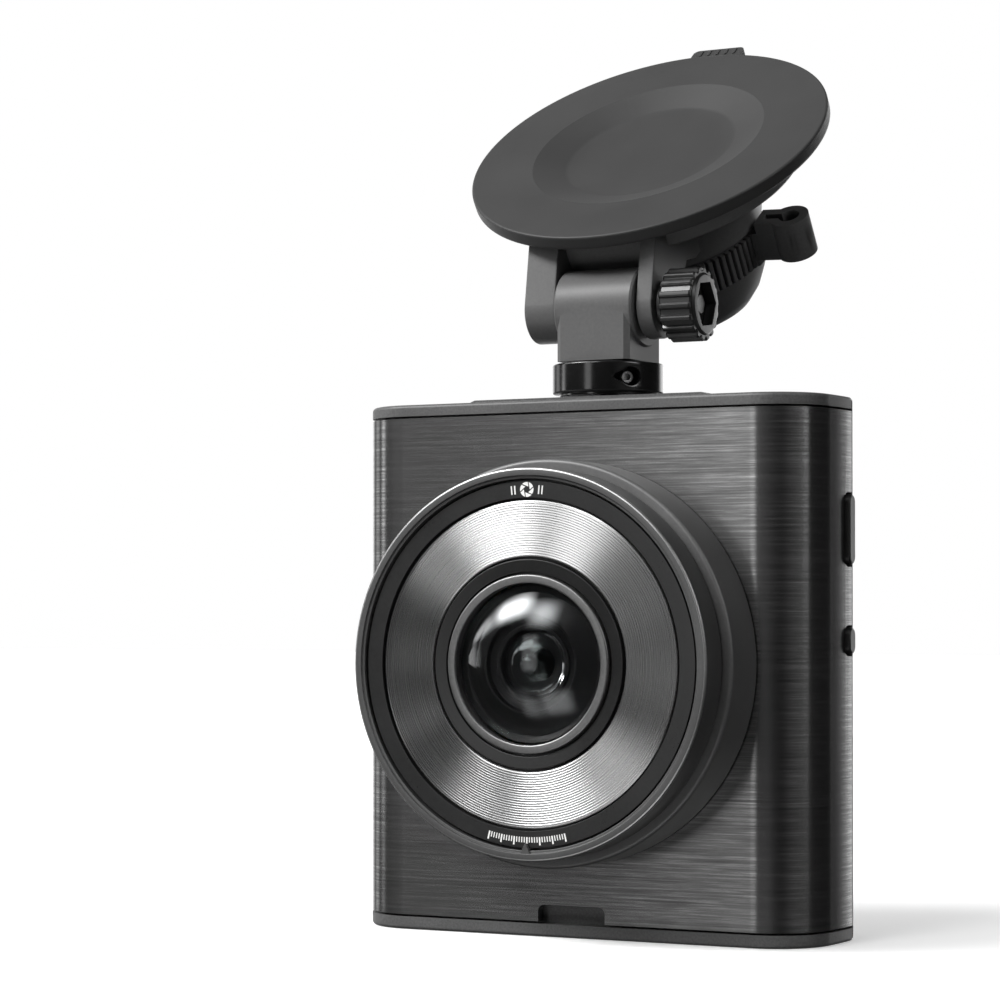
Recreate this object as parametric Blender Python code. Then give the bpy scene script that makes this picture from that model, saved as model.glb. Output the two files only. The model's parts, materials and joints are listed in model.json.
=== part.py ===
"""Dash camera on a suction-cup windscreen mount, as separate pieces on their joint axes.

The script is run by Blender 4.5. Lengths in it are millimetres, and MM turns them into metres
when a mesh is made. X runs to the right as the camera is seen from its lens side, the lens looks
along -Y, and Z is up. The origin is the middle of the camera body's bottom face, under the swivel
axis of the mount.
"""
import math

import bmesh
import bpy
from mathutils import Matrix, Vector

MM = 0.001
GAP = 0.3

# Camera body
BODY_WIDTH = 66.8
BODY_HEIGHT = 70.0
FRONT_Y = -11.4
PARTING_Y = 2.6
BACK_Y = 10.6
CORNER_RADIUS = 8.0
WALL = 1.5
TOP_CAP_THICKNESS = 1.55
BOTTOM_CAP_THICKNESS = 1.7
CAP_EDGE_CHAMFER = 0.4
CAP_LIP_HEIGHT = 1.5
BOTTOM_LIP_HEIGHT = 2.8
HOUSING_TAPER_SIDE = 3.0
HOUSING_TAPER_END = 2.2
PLATFORM_LENGTH = 36.0
PLATFORM_DEPTH = 14.0
PLATFORM_HEIGHT = 0.6
PLATFORM_RAMP = 1.5
PRY_NOTCH_WIDTH = 9.6
PRY_NOTCH_TOP = 4.2

# Back panel, screen and menu keys
PANEL_RIM = 0.4
PANEL_THICKNESS = 1.3
LEDGE_THICKNESS = 1.4
SCREEN_WIDTH = 48.96
SCREEN_HEIGHT = 36.72
SCREEN_CENTRE_Z = 36.75
SCREEN_BASE_MARGIN = 2.1
SCREEN_BASE_THICKNESS = 1.9
KEY_PITCH = 11.5
KEY_COUNT = 4
KEY_CENTRE_Z = 11.9
KEY_SLOT_HALF_LENGTH = 23.5
KEY_SLOT_HEIGHT = 4.8
KEY_RAISED_HEIGHT = 2.6

# Side buttons and side sockets
SIDE_BUTTON_DEPTH = 2.2
SIDE_BUTTON_PROUD = 0.6
POWER_Z = (48.4, 57.4)
RESET_Z = (36.9, 40.3)
USB_Z = (40.0, 49.0)
USB_Y = (-5.8, -3.0)
CARD_Z = (18.0, 29.5)
CARD_Y = (-4.6, -3.0)

# Lens barrel: radius against height in front of the body's front face
LENS_Z = 35.7
BASE_RING_RADIUS = 26.1
BASE_RING_HEIGHT = 8.0
FRONT_RING_RADIUS = 24.8
FRONT_RING_HEIGHT = 13.2
RIM_INNER_RADIUS = 23.4
SEAT_HEIGHT = 11.3
DISH_OUTER_RADIUS = 20.8
DISH_INNER_RADIUS = 13.4
RETAINER_OUTER_RADIUS = 11.5
RETAINER_INNER_RADIUS = 10.2
LENS_RADIUS = 9.9
LENS_EDGE_HEIGHT = 11.6
LENS_TOP_HEIGHT = 14.8
SPIGOT_RADIUS = 20.0

# Boards behind the lens
BOARD_Y = (-2.6, -1.4)
BOARD_HALF_WIDTH = 29.0
BOARD_Z = (6.0, 62.0)
SCREW_X = 26.0
SCREW_ROWS_Z = (9.0, 59.0)

# Swivel collar and stem
COLLAR_RADIUS = 7.45
COLLAR_Z = (70.9, 75.2)
SET_SCREW_TURN_DEG = 45.0
SET_SCREW_AT = (0.5, 73.2)
STEM_HALF = 5.3
STEM_CHAMFER = 0.7
HINGE_Z = 82.7
EYE_RADIUS = 5.3
EYE_HALF_WIDTH = 5.65
BOLT_RADIUS = 1.5
BOLT_HOLE_RADIUS = 1.8

# Suction cup, in a frame whose Z is the cup's axis
CUP_TILT_DEG = 37.5
CUP_OFFSET_Y = 24.6
CUP_OFFSET_Z = 11.5
SKIRT_RADIUS = 25.2
SKIRT_THICKNESS = 2.0
RECESS_OUTER_RADIUS = 16.4
RECESS_INNER_RADIUS = 11.65
RECESS_DEPTH = 1.0
FLANGE_RADIUS = 20.4
FLANGE_BACK = 6.0
NECK_RADIUS = 12.9
NECK_BACK = 13.5
LOCK_RADIUS = 13.0
LOCK_FRONT = 13.8
LOCK_BACK = 28.0
RIB_COUNT = 9
RIB_START_DEG = -58.0
RIB_STEP_DEG = 5.3
LOOP_Z = (-18.2, -14.0)
LOOP_TOP = -12.4
LOOP_CENTRE = 18.1
LOOP_TURN_DEG = -3.0
LEFT_ARM_X = (-10.5, -5.95)
RIGHT_ARM_X = (5.95, 8.2)
ARM_END_RADIUS = 4.3
PLUNGER_RADIUS = 10.6

# Tilt knob
KNOB_RADIUS = 4.9
KNOB_X = (9.3, 14.2)
KNOB_RIBS = 18
KNOB_RIB_DEPTH = 0.35
NUT_HEX_ACROSS_CORNERS = 6.3
POCKET_ACROSS_CORNERS = 6.5

ROUND_LARGE = 48
ROUND_MEDIUM = 32
ROUND_SMALL = 16


# ---------------------------------------------------------------- outlines

def arc(centre, radius, start_deg, end_deg, steps):
    """Points on an arc from start_deg to end_deg, both ends included."""
    points = []
    for index in range(steps + 1):
        angle = math.radians(start_deg + (end_deg - start_deg) * index / steps)
        points.append((centre[0] + radius * math.cos(angle), centre[1] + radius * math.sin(angle)))
    return points


def circle(centre, radius, steps, start_deg=0.0):
    return arc(centre, radius, start_deg, start_deg + 360.0, steps)[:-1]


def rectangle(low_a, high_a, low_b, high_b):
    return [(low_a, low_b), (high_a, low_b), (high_a, high_b), (low_a, high_b)]


def rounded_rectangle(low_a, high_a, low_b, high_b, radius, steps=4):
    corners = [
        (high_a - radius, low_b + radius, -90.0),
        (high_a - radius, high_b - radius, 0.0),
        (low_a + radius, high_b - radius, 90.0),
        (low_a + radius, low_b + radius, 180.0),
    ]
    points = []
    for centre_a, centre_b, start in corners:
        points += arc((centre_a, centre_b), radius, start, start + 90.0, steps)
    return points


def body_section(inset, back_y=PARTING_Y):
    """Section of the body seen from above: flat front, rounded front corners, open back edge."""
    half = BODY_WIDTH / 2 - inset
    front = FRONT_Y + inset
    radius = CORNER_RADIUS - inset
    points = [(-half, back_y)]
    points += arc((-half + radius, front + radius), radius, 180.0, 270.0, 8)
    points += arc((half - radius, front + radius), radius, 270.0, 360.0, 8)
    points.append((half, back_y))
    return points


# ---------------------------------------------------------------- solids

PLANE_ORDER = {
    "XY": lambda a, b, h: (a, b, h),
    "XZ": lambda a, b, h: (a, h, b),
    "YZ": lambda a, b, h: (h, a, b),
}


def stacked_solid(loops):
    """A closed solid through loops of equal length, with a flat face at each end."""
    solid = bmesh.new()
    rings = [[solid.verts.new(point) for point in loop] for loop in loops]
    count = len(rings[0])
    solid.faces.new(rings[0])
    solid.faces.new(rings[-1])
    for lower, upper in zip(rings, rings[1:]):
        for index in range(count):
            following = (index + 1) % count
            solid.faces.new((lower[index], lower[following], upper[following], upper[index]))
    bmesh.ops.recalc_face_normals(solid, faces=solid.faces)
    return solid


def prism(outline, low, high, plane="XY"):
    place = PLANE_ORDER[plane]
    return stacked_solid([[place(a, b, h) for a, b in outline] for h in (low, high)])


def layered(sections, plane="XY"):
    """Outlines of equal point count stacked at their own heights."""
    place = PLANE_ORDER[plane]
    return stacked_solid([[place(a, b, h) for a, b in outline] for outline, h in sections])


def cylinder(centre, radius, low, high, plane="XY", steps=ROUND_SMALL):
    return prism(circle(centre, radius, steps), low, high, plane)


def box(low, high):
    return prism(rectangle(low[0], high[0], low[1], high[1]), low[2], high[2])


def turned(profile, steps):
    """A closed (radius, height) profile spun once about Z."""
    solid = bmesh.new()
    verts = [solid.verts.new((radius, 0.0, height)) for radius, height in profile]
    edges = [solid.edges.new(pair) for pair in zip(verts, verts[1:] + verts[:1])
             if pair[0].co.x > 0.0 or pair[1].co.x > 0.0]
    bmesh.ops.spin(solid, geom=verts + edges, cent=(0, 0, 0), axis=(0, 0, 1),
                   angle=2 * math.pi, steps=steps, use_merge=True)
    bmesh.ops.remove_doubles(solid, verts=solid.verts, dist=1e-4)
    bmesh.ops.recalc_face_normals(solid, faces=solid.faces)
    return solid


def turn_about_z(solid, degrees):
    turn = Matrix.Rotation(math.radians(degrees), 3, 'Z')
    bmesh.ops.rotate(solid, cent=(0, 0, 0), verts=solid.verts, matrix=turn)
    return solid


def gathered(*solids):
    """Separate solids in one mesh."""
    whole = bmesh.new()
    for solid in solids:
        carrier = bpy.data.meshes.new("carrier")
        solid.to_mesh(carrier)
        solid.free()
        whole.from_mesh(carrier)
        bpy.data.meshes.remove(carrier)
    return whole


# ---------------------------------------------------------------- objects

def finish(name, colour, roughness, metallic=0.0):
    made = bpy.data.materials.new(name)
    made.use_nodes = True
    shader = made.node_tree.nodes["Principled BSDF"]
    shader.inputs["Base Color"].default_value = (*colour, 1.0)
    shader.inputs["Roughness"].default_value = roughness
    shader.inputs["Metallic"].default_value = metallic
    return made


def piece(name, solid, material=None, parent=None, location=(0, 0, 0), rotation_x_deg=0.0):
    """One object, its mesh brought from millimetres to metres."""
    bmesh.ops.scale(solid, vec=(MM, MM, MM), verts=solid.verts)
    mesh = bpy.data.meshes.new(name)
    solid.to_mesh(mesh)
    solid.free()
    mesh.shade_smooth()
    mesh.set_sharp_from_angle(angle=math.radians(30))
    made = bpy.data.objects.new(name, mesh)
    bpy.context.collection.objects.link(made)
    made.location = Vector(location) * MM
    made.rotation_euler = (math.radians(rotation_x_deg), 0.0, 0.0)
    made.parent = parent
    if material:
        mesh.materials.append(material)
    return made


def guide(name, solid, like):
    """A hidden shape that is added to, or taken from, the piece it belongs to."""
    made = piece(name, solid, parent=like.parent)
    made.location = like.location
    made.rotation_euler = like.rotation_euler
    made.hide_render = True
    made.display_type = 'WIRE'
    return made


def shape_with(target, solid, operation):
    step = target.modifiers.new(operation.lower(), 'BOOLEAN')
    step.operation = operation
    step.object = guide(f"{target.name}_{operation.lower()}_{len(target.modifiers)}", solid, target)


def add(target, solid):
    shape_with(target, solid, 'UNION')


def cut(target, solid):
    shape_with(target, solid, 'DIFFERENCE')


def axis_frame(name, location, rotation_x_deg=0.0, parent=None):
    frame = bpy.data.objects.new(name, None)
    bpy.context.collection.objects.link(frame)
    frame.location = Vector(location) * MM
    frame.rotation_euler = (math.radians(rotation_x_deg), 0.0, 0.0)
    frame.parent = parent
    return frame


# ---------------------------------------------------------------- camera body

def make_front_cover(looks):
    low = BOTTOM_CAP_THICKNESS + GAP
    high = BODY_HEIGHT - TOP_CAP_THICKNESS - GAP
    outline = body_section(0.0) + list(reversed(body_section(WALL)))
    cover = piece("front_cover", prism(outline, low, high), looks["brushed_cover"])
    wall_back = FRONT_Y + WALL
    places = [(side * SCREW_X, row) for side in (-1, 1) for row in SCREW_ROWS_Z]
    add(cover, gathered(*[cylinder(place, 2.5, wall_back - 0.5, BOARD_Y[0] - GAP, "XZ")
                          for place in places]))
    side_x = BODY_WIDTH / 2
    button_y = (PARTING_Y - SIDE_BUTTON_DEPTH - 2 * GAP, PARTING_Y + 1.0)
    cuts = [cylinder((0.0, LENS_Z), SPIGOT_RADIUS + GAP, FRONT_Y - 1.0, wall_back + 1.0, "XZ",
                     ROUND_LARGE)]
    cuts += [cylinder(place, 0.85, BOARD_Y[0] - 5.0, BOARD_Y[0], "XZ", 12) for place in places]
    cuts.append(box((-PRY_NOTCH_WIDTH / 2, FRONT_Y - 1.0, low - 1.0),
                    (PRY_NOTCH_WIDTH / 2, wall_back + 1.0, PRY_NOTCH_TOP)))
    for button_low, button_high in (POWER_Z, RESET_Z):
        cuts.append(box((side_x - WALL - 1.0, button_y[0], button_low - GAP),
                        (side_x + 1.0, button_y[1], button_high + GAP)))
    for socket_y, socket_z in ((USB_Y, USB_Z), (CARD_Y, CARD_Z)):
        cuts.append(box((-side_x - 1.0, socket_y[0] - GAP, socket_z[0] - GAP),
                        (-side_x + WALL + 1.0, socket_y[1] + GAP, socket_z[1] + GAP)))
    cut(cover, gathered(*cuts))


def make_top_cap(looks):
    face = BODY_HEIGHT
    seam = face - TOP_CAP_THICKNESS
    lip_inset = WALL + GAP
    lip = body_section(lip_inset, PARTING_Y - GAP)
    solid = layered([(lip, seam - CAP_LIP_HEIGHT), (lip, seam), (body_section(0.0), seam),
                     (body_section(0.0), face - CAP_EDGE_CHAMFER),
                     (body_section(CAP_EDGE_CHAMFER), face)])
    cap = piece("top_cap", solid, looks["cap_grey"])
    half = PLATFORM_LENGTH / 2
    ramp = [(-half, face - 0.5), (half, face - 0.5), (half, face),
            (half - PLATFORM_RAMP, face + PLATFORM_HEIGHT),
            (-half + PLATFORM_RAMP, face + PLATFORM_HEIGHT), (-half, face)]
    add(cap, prism(ramp, -PLATFORM_DEPTH / 2, PARTING_Y, "XZ"))
    cut(cap, cylinder((0.0, 0.0), 1.75, seam - 3.0, face + 2.0))


def make_bottom_cap(looks):
    seam = BOTTOM_CAP_THICKNESS
    lip = body_section(WALL + GAP, PARTING_Y - GAP)
    solid = layered([(body_section(CAP_EDGE_CHAMFER), 0.0),
                     (body_section(0.0), CAP_EDGE_CHAMFER), (body_section(0.0), seam),
                     (lip, seam), (lip, seam + BOTTOM_LIP_HEIGHT)])
    piece("bottom_cap", solid, looks["cap_grey"])


def housing_loft(inset, front_y, back_y):
    """The rear housing's tapered form, drawn in by inset, between two depths."""
    depth = BACK_Y - PARTING_Y - GAP
    loops = []
    for y in (front_y, back_y):
        share = (y - PARTING_Y - GAP) / depth
        half = BODY_WIDTH / 2 - inset - HOUSING_TAPER_SIDE * share
        low = inset + HOUSING_TAPER_END * share
        high = BODY_HEIGHT - low
        loops.append((rectangle(-half, half, low, high), y))
    return layered(loops, "XZ")


def make_rear_housing(looks):
    front = PARTING_Y + GAP
    housing = piece("rear_housing", housing_loft(0.0, front, BACK_Y), looks["housing_grey"])
    half = PLATFORM_LENGTH / 2
    face = BODY_HEIGHT
    ramp = [(-half, face - 1.2), (half, face - 1.2), (half, face),
            (half - PLATFORM_RAMP, face + PLATFORM_HEIGHT),
            (-half + PLATFORM_RAMP, face + PLATFORM_HEIGHT), (-half, face)]
    add(housing, prism(ramp, front, PLATFORM_DEPTH / 2, "XZ"))
    panel_front = BACK_Y - PANEL_THICKNESS - GAP
    cut(housing, housing_loft(WALL, front - 1.0, panel_front - LEDGE_THICKNESS))
    side = BODY_WIDTH / 2 - HOUSING_TAPER_SIDE - PANEL_RIM
    low = HOUSING_TAPER_END + PANEL_RIM
    cut(housing, prism(rectangle(-side, side, low, BODY_HEIGHT - low), panel_front,
                       BACK_Y + 1.0, "XZ"))
    window = rectangle(-SCREEN_WIDTH / 2 - GAP, SCREEN_WIDTH / 2 + GAP, 8.6,
                       SCREEN_CENTRE_Z + SCREEN_HEIGHT / 2 + 0.8)
    cut(housing, prism(window, front, BACK_Y, "XZ"))


def make_back_panel(looks):
    side = BODY_WIDTH / 2 - HOUSING_TAPER_SIDE - PANEL_RIM - GAP
    low = HOUSING_TAPER_END + PANEL_RIM + GAP
    outline = rectangle(-side, side, low, BODY_HEIGHT - low)
    panel = piece("back_panel", prism(outline, BACK_Y - PANEL_THICKNESS, BACK_Y, "XZ"),
                  looks["panel_dark"])
    screen = rectangle(-SCREEN_WIDTH / 2, SCREEN_WIDTH / 2, SCREEN_CENTRE_Z - SCREEN_HEIGHT / 2,
                       SCREEN_CENTRE_Z + SCREEN_HEIGHT / 2)
    slot = rounded_rectangle(-KEY_SLOT_HALF_LENGTH, KEY_SLOT_HALF_LENGTH,
                             KEY_CENTRE_Z - KEY_SLOT_HEIGHT / 2,
                             KEY_CENTRE_Z + KEY_SLOT_HEIGHT / 2, 2.2)
    cut(panel, gathered(*[prism(hole, BACK_Y - 3.0, BACK_Y + 1.0, "XZ")
                          for hole in (screen, slot)]))


def make_screen(looks):
    half_width = SCREEN_WIDTH / 2 - GAP
    half_height = SCREEN_HEIGHT / 2 - GAP
    margin = SCREEN_BASE_MARGIN
    back = BACK_Y - PANEL_THICKNESS - GAP - LEDGE_THICKNESS - GAP
    base = rectangle(-half_width - margin, half_width + margin,
                     SCREEN_CENTRE_Z - half_height - margin,
                     SCREEN_CENTRE_Z + half_height + margin)
    face = rectangle(-half_width, half_width, SCREEN_CENTRE_Z - half_height,
                     SCREEN_CENTRE_Z + half_height)
    solid = layered([(base, back - SCREEN_BASE_THICKNESS), (base, back), (face, back),
                     (face, BACK_Y - 0.2)], "XZ")
    piece("lcd_module", solid, looks["screen"])


def key_outline(index, half_height, margin, radius):
    """Outline of one menu key: the two end keys have round outer corners."""
    left = -KEY_SLOT_HALF_LENGTH + margin
    right = KEY_SLOT_HALF_LENGTH - margin
    if index > 0:
        left = (index - KEY_COUNT / 2) * KEY_PITCH + margin / 2
    if index < KEY_COUNT - 1:
        right = (index + 1 - KEY_COUNT / 2) * KEY_PITCH - margin / 2
    left_radius = radius if index == 0 else 0.05
    right_radius = radius if index == KEY_COUNT - 1 else 0.05
    low = KEY_CENTRE_Z - half_height
    high = KEY_CENTRE_Z + half_height
    points = arc((right - right_radius, low + right_radius), right_radius, -90, 0, 4)
    points += arc((right - right_radius, high - right_radius), right_radius, 0, 90, 4)
    points += arc((left + left_radius, high - left_radius), left_radius, 90, 180, 4)
    points += arc((left + left_radius, low + left_radius), left_radius, 180, 270, 4)
    return points


def make_menu_keys(looks):
    panel_front = BACK_Y - PANEL_THICKNESS
    for index in range(KEY_COUNT):
        slot_half = KEY_SLOT_HEIGHT / 2 - GAP
        flange = key_outline(index, slot_half + 0.7, GAP, 0.4)
        body = key_outline(index, slot_half, GAP, 1.9)
        raised = key_outline(index, KEY_RAISED_HEIGHT / 2, 2 * GAP, 1.25)
        solid = layered([(flange, panel_front - 0.9), (flange, panel_front - GAP),
                         (body, panel_front - GAP), (body, BACK_Y - 0.7),
                         (raised, BACK_Y - 0.7), (raised, BACK_Y - 0.1)], "XZ")
        piece(f"menu_button_{index + 1}", solid, looks["button_black"])
    board = rectangle(-KEY_SLOT_HALF_LENGTH + 1.0, KEY_SLOT_HALF_LENGTH - 1.0, 9.0, 14.8)
    piece("button_board", prism(board, panel_front - 2.9, panel_front - 1.9, "XZ"),
          looks["board_green"])


def make_side_buttons(looks):
    side_x = BODY_WIDTH / 2
    high_y = PARTING_Y - 0.1
    low_y = high_y - SIDE_BUTTON_DEPTH
    for name, span in (("power_button", POWER_Z), ("reset_button", RESET_Z)):
        flange = rounded_rectangle(low_y - 0.8, high_y, span[0] - 0.8, span[1] + 0.8, 0.3)
        head = rounded_rectangle(low_y, high_y, span[0], span[1], 1.0)
        crown = rounded_rectangle(low_y + 0.3, high_y - 0.3, span[0] + 0.3, span[1] - 0.3, 0.75)
        solid = layered([(flange, side_x - WALL - 1.5), (flange, side_x - WALL - GAP),
                         (head, side_x - WALL - GAP), (head, side_x + SIDE_BUTTON_PROUD - 0.25),
                         (crown, side_x + SIDE_BUTTON_PROUD)], "YZ")
        piece(name, solid, looks["button_black"])
    board = rectangle(-0.9, 2.3, 35.0, 56.0)
    piece("side_switch_board", prism(board, 28.0, 28.9, "YZ"), looks["board_green"])


def make_electronics(looks):
    main = rectangle(-BOARD_HALF_WIDTH, BOARD_HALF_WIDTH, *BOARD_Z)
    board = piece("main_board", prism(main, *BOARD_Y, "XZ"), looks["board_green"])
    places = [(side * SCREW_X, row) for side in (-1, 1) for row in SCREW_ROWS_Z]
    cut(board, gathered(*[cylinder(place, 1.0, BOARD_Y[0] - 1.0, BOARD_Y[1] + 1.0, "XZ", 12)
                          for place in places]))
    for number, place in enumerate(places, 1):
        head_y = BOARD_Y[1] + GAP
        shank = circle(place, 0.6, 12)
        head = circle(place, 1.7, 12)
        screw = layered([(shank, BOARD_Y[0] - 4.0), (shank, head_y), (head, head_y),
                         (head, head_y + 1.1)], "XZ")
        piece(f"board_screw_{number}", screw, looks["steel"])
    cell = rounded_rectangle(-16.0, 16.0, 10.0, 34.0, 1.2)
    piece("battery", prism(cell, BOARD_Y[1] + 0.6, BOARD_Y[1] + 5.6, "XZ"), looks["battery_grey"])
    speaker_at = (-18.5, 49.0)
    speaker = layered([(circle(speaker_at, 7.5, 32), BOARD_Y[1] + GAP),
                       (circle(speaker_at, 7.5, 32), BOARD_Y[1] + 2.6),
                       (circle(speaker_at, 5.2, 32), BOARD_Y[1] + 2.6),
                       (circle(speaker_at, 5.2, 32), BOARD_Y[1] + 3.4)], "XZ")
    piece("speaker", speaker, looks["button_black"])
    side_x = -BODY_WIDTH / 2
    for name, span_y, span_z, depth, wall in (("usb_socket", USB_Y, USB_Z, 7.0, 0.35),
                                              ("microsd_socket", CARD_Y, CARD_Z, 14.0, 0.3)):
        shell = box((side_x + 0.5, span_y[0], span_z[0]),
                    (side_x + 0.5 + depth, span_y[1], span_z[1]))
        socket = piece(name, shell, looks["steel"])
        cut(socket, box((side_x - 1.0, span_y[0] + wall, span_z[0] + wall),
                        (side_x + depth - 0.5, span_y[1] - wall, span_z[1] - wall)))


# ---------------------------------------------------------------- lens

def lens_piece(name, profile, material, steps=ROUND_LARGE):
    """A turned piece on the lens axis; heights in its profile are in front of the body face."""
    return piece(name, turned(profile, steps), material, location=(0.0, FRONT_Y, LENS_Z),
                 rotation_x_deg=90.0)


def dome(edge_radius, edge_height, top_height, steps):
    """Points of a spherical cap from its edge to its top on the axis."""
    rise = top_height - edge_height
    radius = (edge_radius ** 2 + rise ** 2) / (2 * rise)
    start = math.degrees(math.asin((radius - rise) / radius))
    return [(max(x, 0.0), y) for x, y in arc((0.0, top_height - radius), radius, start, 90.0, steps)]


def make_barrel(looks):
    sleeve = 22.3
    base = [(SPIGOT_RADIUS - 1.6, -2.6), (SPIGOT_RADIUS, -2.6), (SPIGOT_RADIUS, GAP),
            (BASE_RING_RADIUS, GAP), (BASE_RING_RADIUS, BASE_RING_HEIGHT - 0.4),
            (BASE_RING_RADIUS - 0.4, BASE_RING_HEIGHT), (sleeve + GAP, BASE_RING_HEIGHT),
            (sleeve + GAP, 2.0), (SPIGOT_RADIUS - 1.6, 2.0)]
    lens_piece("barrel_base_ring", base, looks["barrel_black"])
    outer = FRONT_RING_RADIUS
    front = [(sleeve - 1.8, 2.0 + GAP), (sleeve, 2.0 + GAP), (sleeve, BASE_RING_HEIGHT + GAP),
             (outer, BASE_RING_HEIGHT + GAP), (outer, FRONT_RING_HEIGHT - 0.3),
             (outer - 0.3, FRONT_RING_HEIGHT), (RIM_INNER_RADIUS, FRONT_RING_HEIGHT),
             (RIM_INNER_RADIUS, SEAT_HEIGHT), (LENS_RADIUS + 0.7, SEAT_HEIGHT),
             (LENS_RADIUS + 0.7, SEAT_HEIGHT - 1.6), (sleeve - 1.8, SEAT_HEIGHT - 1.6)]
    lens_piece("barrel_front_ring", front, looks["barrel_black"])
    seat = SEAT_HEIGHT + GAP
    marking = [(DISH_OUTER_RADIUS + GAP / 2, seat), (RIM_INNER_RADIUS - GAP, seat),
               (RIM_INNER_RADIUS - GAP, 12.6), (DISH_OUTER_RADIUS + GAP / 2, 12.6)]
    lens_piece("marking_ring", marking, looks["barrel_black"])
    dish = [(DISH_INNER_RADIUS + GAP / 2, seat), (DISH_OUTER_RADIUS - GAP / 2, seat),
            (DISH_OUTER_RADIUS - GAP / 2, 12.4), (DISH_INNER_RADIUS + GAP / 2, 12.2)]
    lens_piece("spun_dish_ring", dish, looks["spun_metal"])
    inner = [(RETAINER_OUTER_RADIUS + GAP / 2, seat), (DISH_INNER_RADIUS - GAP / 2, seat),
             (DISH_INNER_RADIUS - GAP / 2, 12.5), (RETAINER_OUTER_RADIUS + GAP / 2, 12.3)]
    lens_piece("lens_inner_ring", inner, looks["barrel_black"], ROUND_MEDIUM)
    retainer = [(RETAINER_INNER_RADIUS, seat), (RETAINER_OUTER_RADIUS - GAP / 2, seat),
                (RETAINER_OUTER_RADIUS - GAP / 2, 12.5), (RETAINER_OUTER_RADIUS - 0.4, 12.7),
                (RETAINER_INNER_RADIUS + 0.2, 12.7), (RETAINER_INNER_RADIUS, 12.5)]
    lens_piece("lens_retaining_ring", retainer, looks["retainer_grey"], ROUND_MEDIUM)


def make_lens(looks):
    bottom = 10.4
    seat_radius = 8.9
    profile = [(seat_radius, bottom), (LENS_RADIUS, bottom)]
    profile += dome(LENS_RADIUS, LENS_EDGE_HEIGHT, LENS_TOP_HEIGHT, 6)
    profile += list(reversed(dome(seat_radius, bottom, LENS_TOP_HEIGHT - 1.6, 4)))[:-1]
    lens_piece("front_lens", profile, looks["glass"], ROUND_MEDIUM)
    bore = 4.3
    cell = [(bore, -6.2), (7.0, -6.2), (7.0, 3.0), (LENS_RADIUS + 0.4, 3.0),
            (LENS_RADIUS + 0.4, bottom - GAP), (8.7, bottom - GAP), (6.1, 11.1), (5.8, 10.6),
            (bore, 10.2)]
    lens_piece("lens_cell", cell, looks["barrel_black"], ROUND_MEDIUM)
    second = [(0.0, 8.9), (3.9, 8.9)] + dome(3.9, 10.2, 11.9, 5)
    lens_piece("second_lens", second, looks["glass"], 20)
    aperture = [(1.3, 7.9), (3.9, 7.9), (3.9, 8.5), (1.6, 8.5)]
    lens_piece("aperture_ring", aperture, looks["barrel_black"], 20)
    rear = [(0.0, 1.5), (3.9, 1.5), (3.9, 3.9)] + dome(3.4, 4.2, 5.1, 4)
    lens_piece("rear_lens", rear, looks["glass"], 20)
    half = 8.5
    low_y = -9.2
    high_y = BOARD_Y[0] - GAP
    holder_outline = rounded_rectangle(-half, half, LENS_Z - half, LENS_Z + half, 1.5)
    holder = piece("lens_holder", prism(holder_outline, low_y, high_y, "XZ"), looks["button_black"])
    cut(holder, cylinder((0.0, LENS_Z), 7.3, low_y - 1.0, high_y + 1.0, "XZ", ROUND_MEDIUM))
    sensor = rectangle(-4.5, 4.5, LENS_Z - 4.5, LENS_Z + 4.5)
    piece("image_sensor", prism(sensor, high_y - 1.0, high_y, "XZ"), looks["board_green"])


# ---------------------------------------------------------------- mount

def make_swivel(looks, swivel_axis):
    screw = [(0.0, 64.2), (3.0, 64.2), (3.2, 64.5), (3.2, 65.7), (1.4, 65.7), (1.4, 72.3),
             (0.0, 72.3)]
    piece("swivel_screw", turned(screw, ROUND_SMALL), looks["steel"], swivel_axis)
    washer = [(1.75, 66.0), (3.4, 66.0), (3.4, 66.65), (1.75, 66.65)]
    piece("swivel_washer", turned(washer, ROUND_SMALL), looks["steel"], swivel_axis)
    low, high = COLLAR_Z
    radius = COLLAR_RADIUS
    spigot = 3.2
    collar_profile = [(1.7, low), (6.5, low), (6.5, low + 0.35), (radius - 0.2, low + 0.35),
                      (radius, low + 0.55), (radius, high - 0.3), (radius - 0.3, high),
                      (spigot + GAP, high), (spigot + GAP, 73.0), (1.7, 73.0)]
    collar = piece("swivel_collar", turned(collar_profile, ROUND_MEDIUM), looks["collar_black"],
                   swivel_axis)
    slot = rounded_rectangle(-2.2, 2.2, 71.9, 74.5, 1.25, 4)
    cut(collar, turn_about_z(prism(slot, -9.0, -2.5, "XZ"), SET_SCREW_TURN_DEG))
    grub = cylinder(SET_SCREW_AT, 0.95, -6.0, -3.5, "XZ", 12)
    turn_about_z(grub, SET_SCREW_TURN_DEG)
    piece("collar_set_screw", grub, looks["steel"], swivel_axis)
    half = STEM_HALF
    edge = STEM_CHAMFER
    square = [(half, -half + edge), (half, half - edge), (half - edge, half), (-half + edge, half),
              (-half, half - edge), (-half, -half + edge), (-half + edge, -half),
              (half - edge, -half)]
    stem = piece("mount_stem", prism(square, high + GAP, HINGE_Z), looks["mount_grey"],
                 swivel_axis)
    add(stem, cylinder((0.0, HINGE_Z), EYE_RADIUS, -EYE_HALF_WIDTH, EYE_HALF_WIDTH, "YZ", 32))
    add(stem, cylinder((0.0, 0.0), spigot, 73.3, high + 2.0))
    cut(stem, cylinder((0.0, HINGE_Z), BOLT_HOLE_RADIUS, -9.0, 9.0, "YZ"))


def arm_outline():
    """Side view of one fork arm: a round end on the hinge, widening to the cup's neck."""
    centre = (-CUP_OFFSET_Y, -CUP_OFFSET_Z)
    points = arc(centre, ARM_END_RADIUS, 133.5, 322.5, 14)
    points += [(-14.5, -10.6), (-11.5, -12.0), (-7.2, -12.0), (-7.2, -2.6), (-21.4, -2.6)]
    return points


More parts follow.
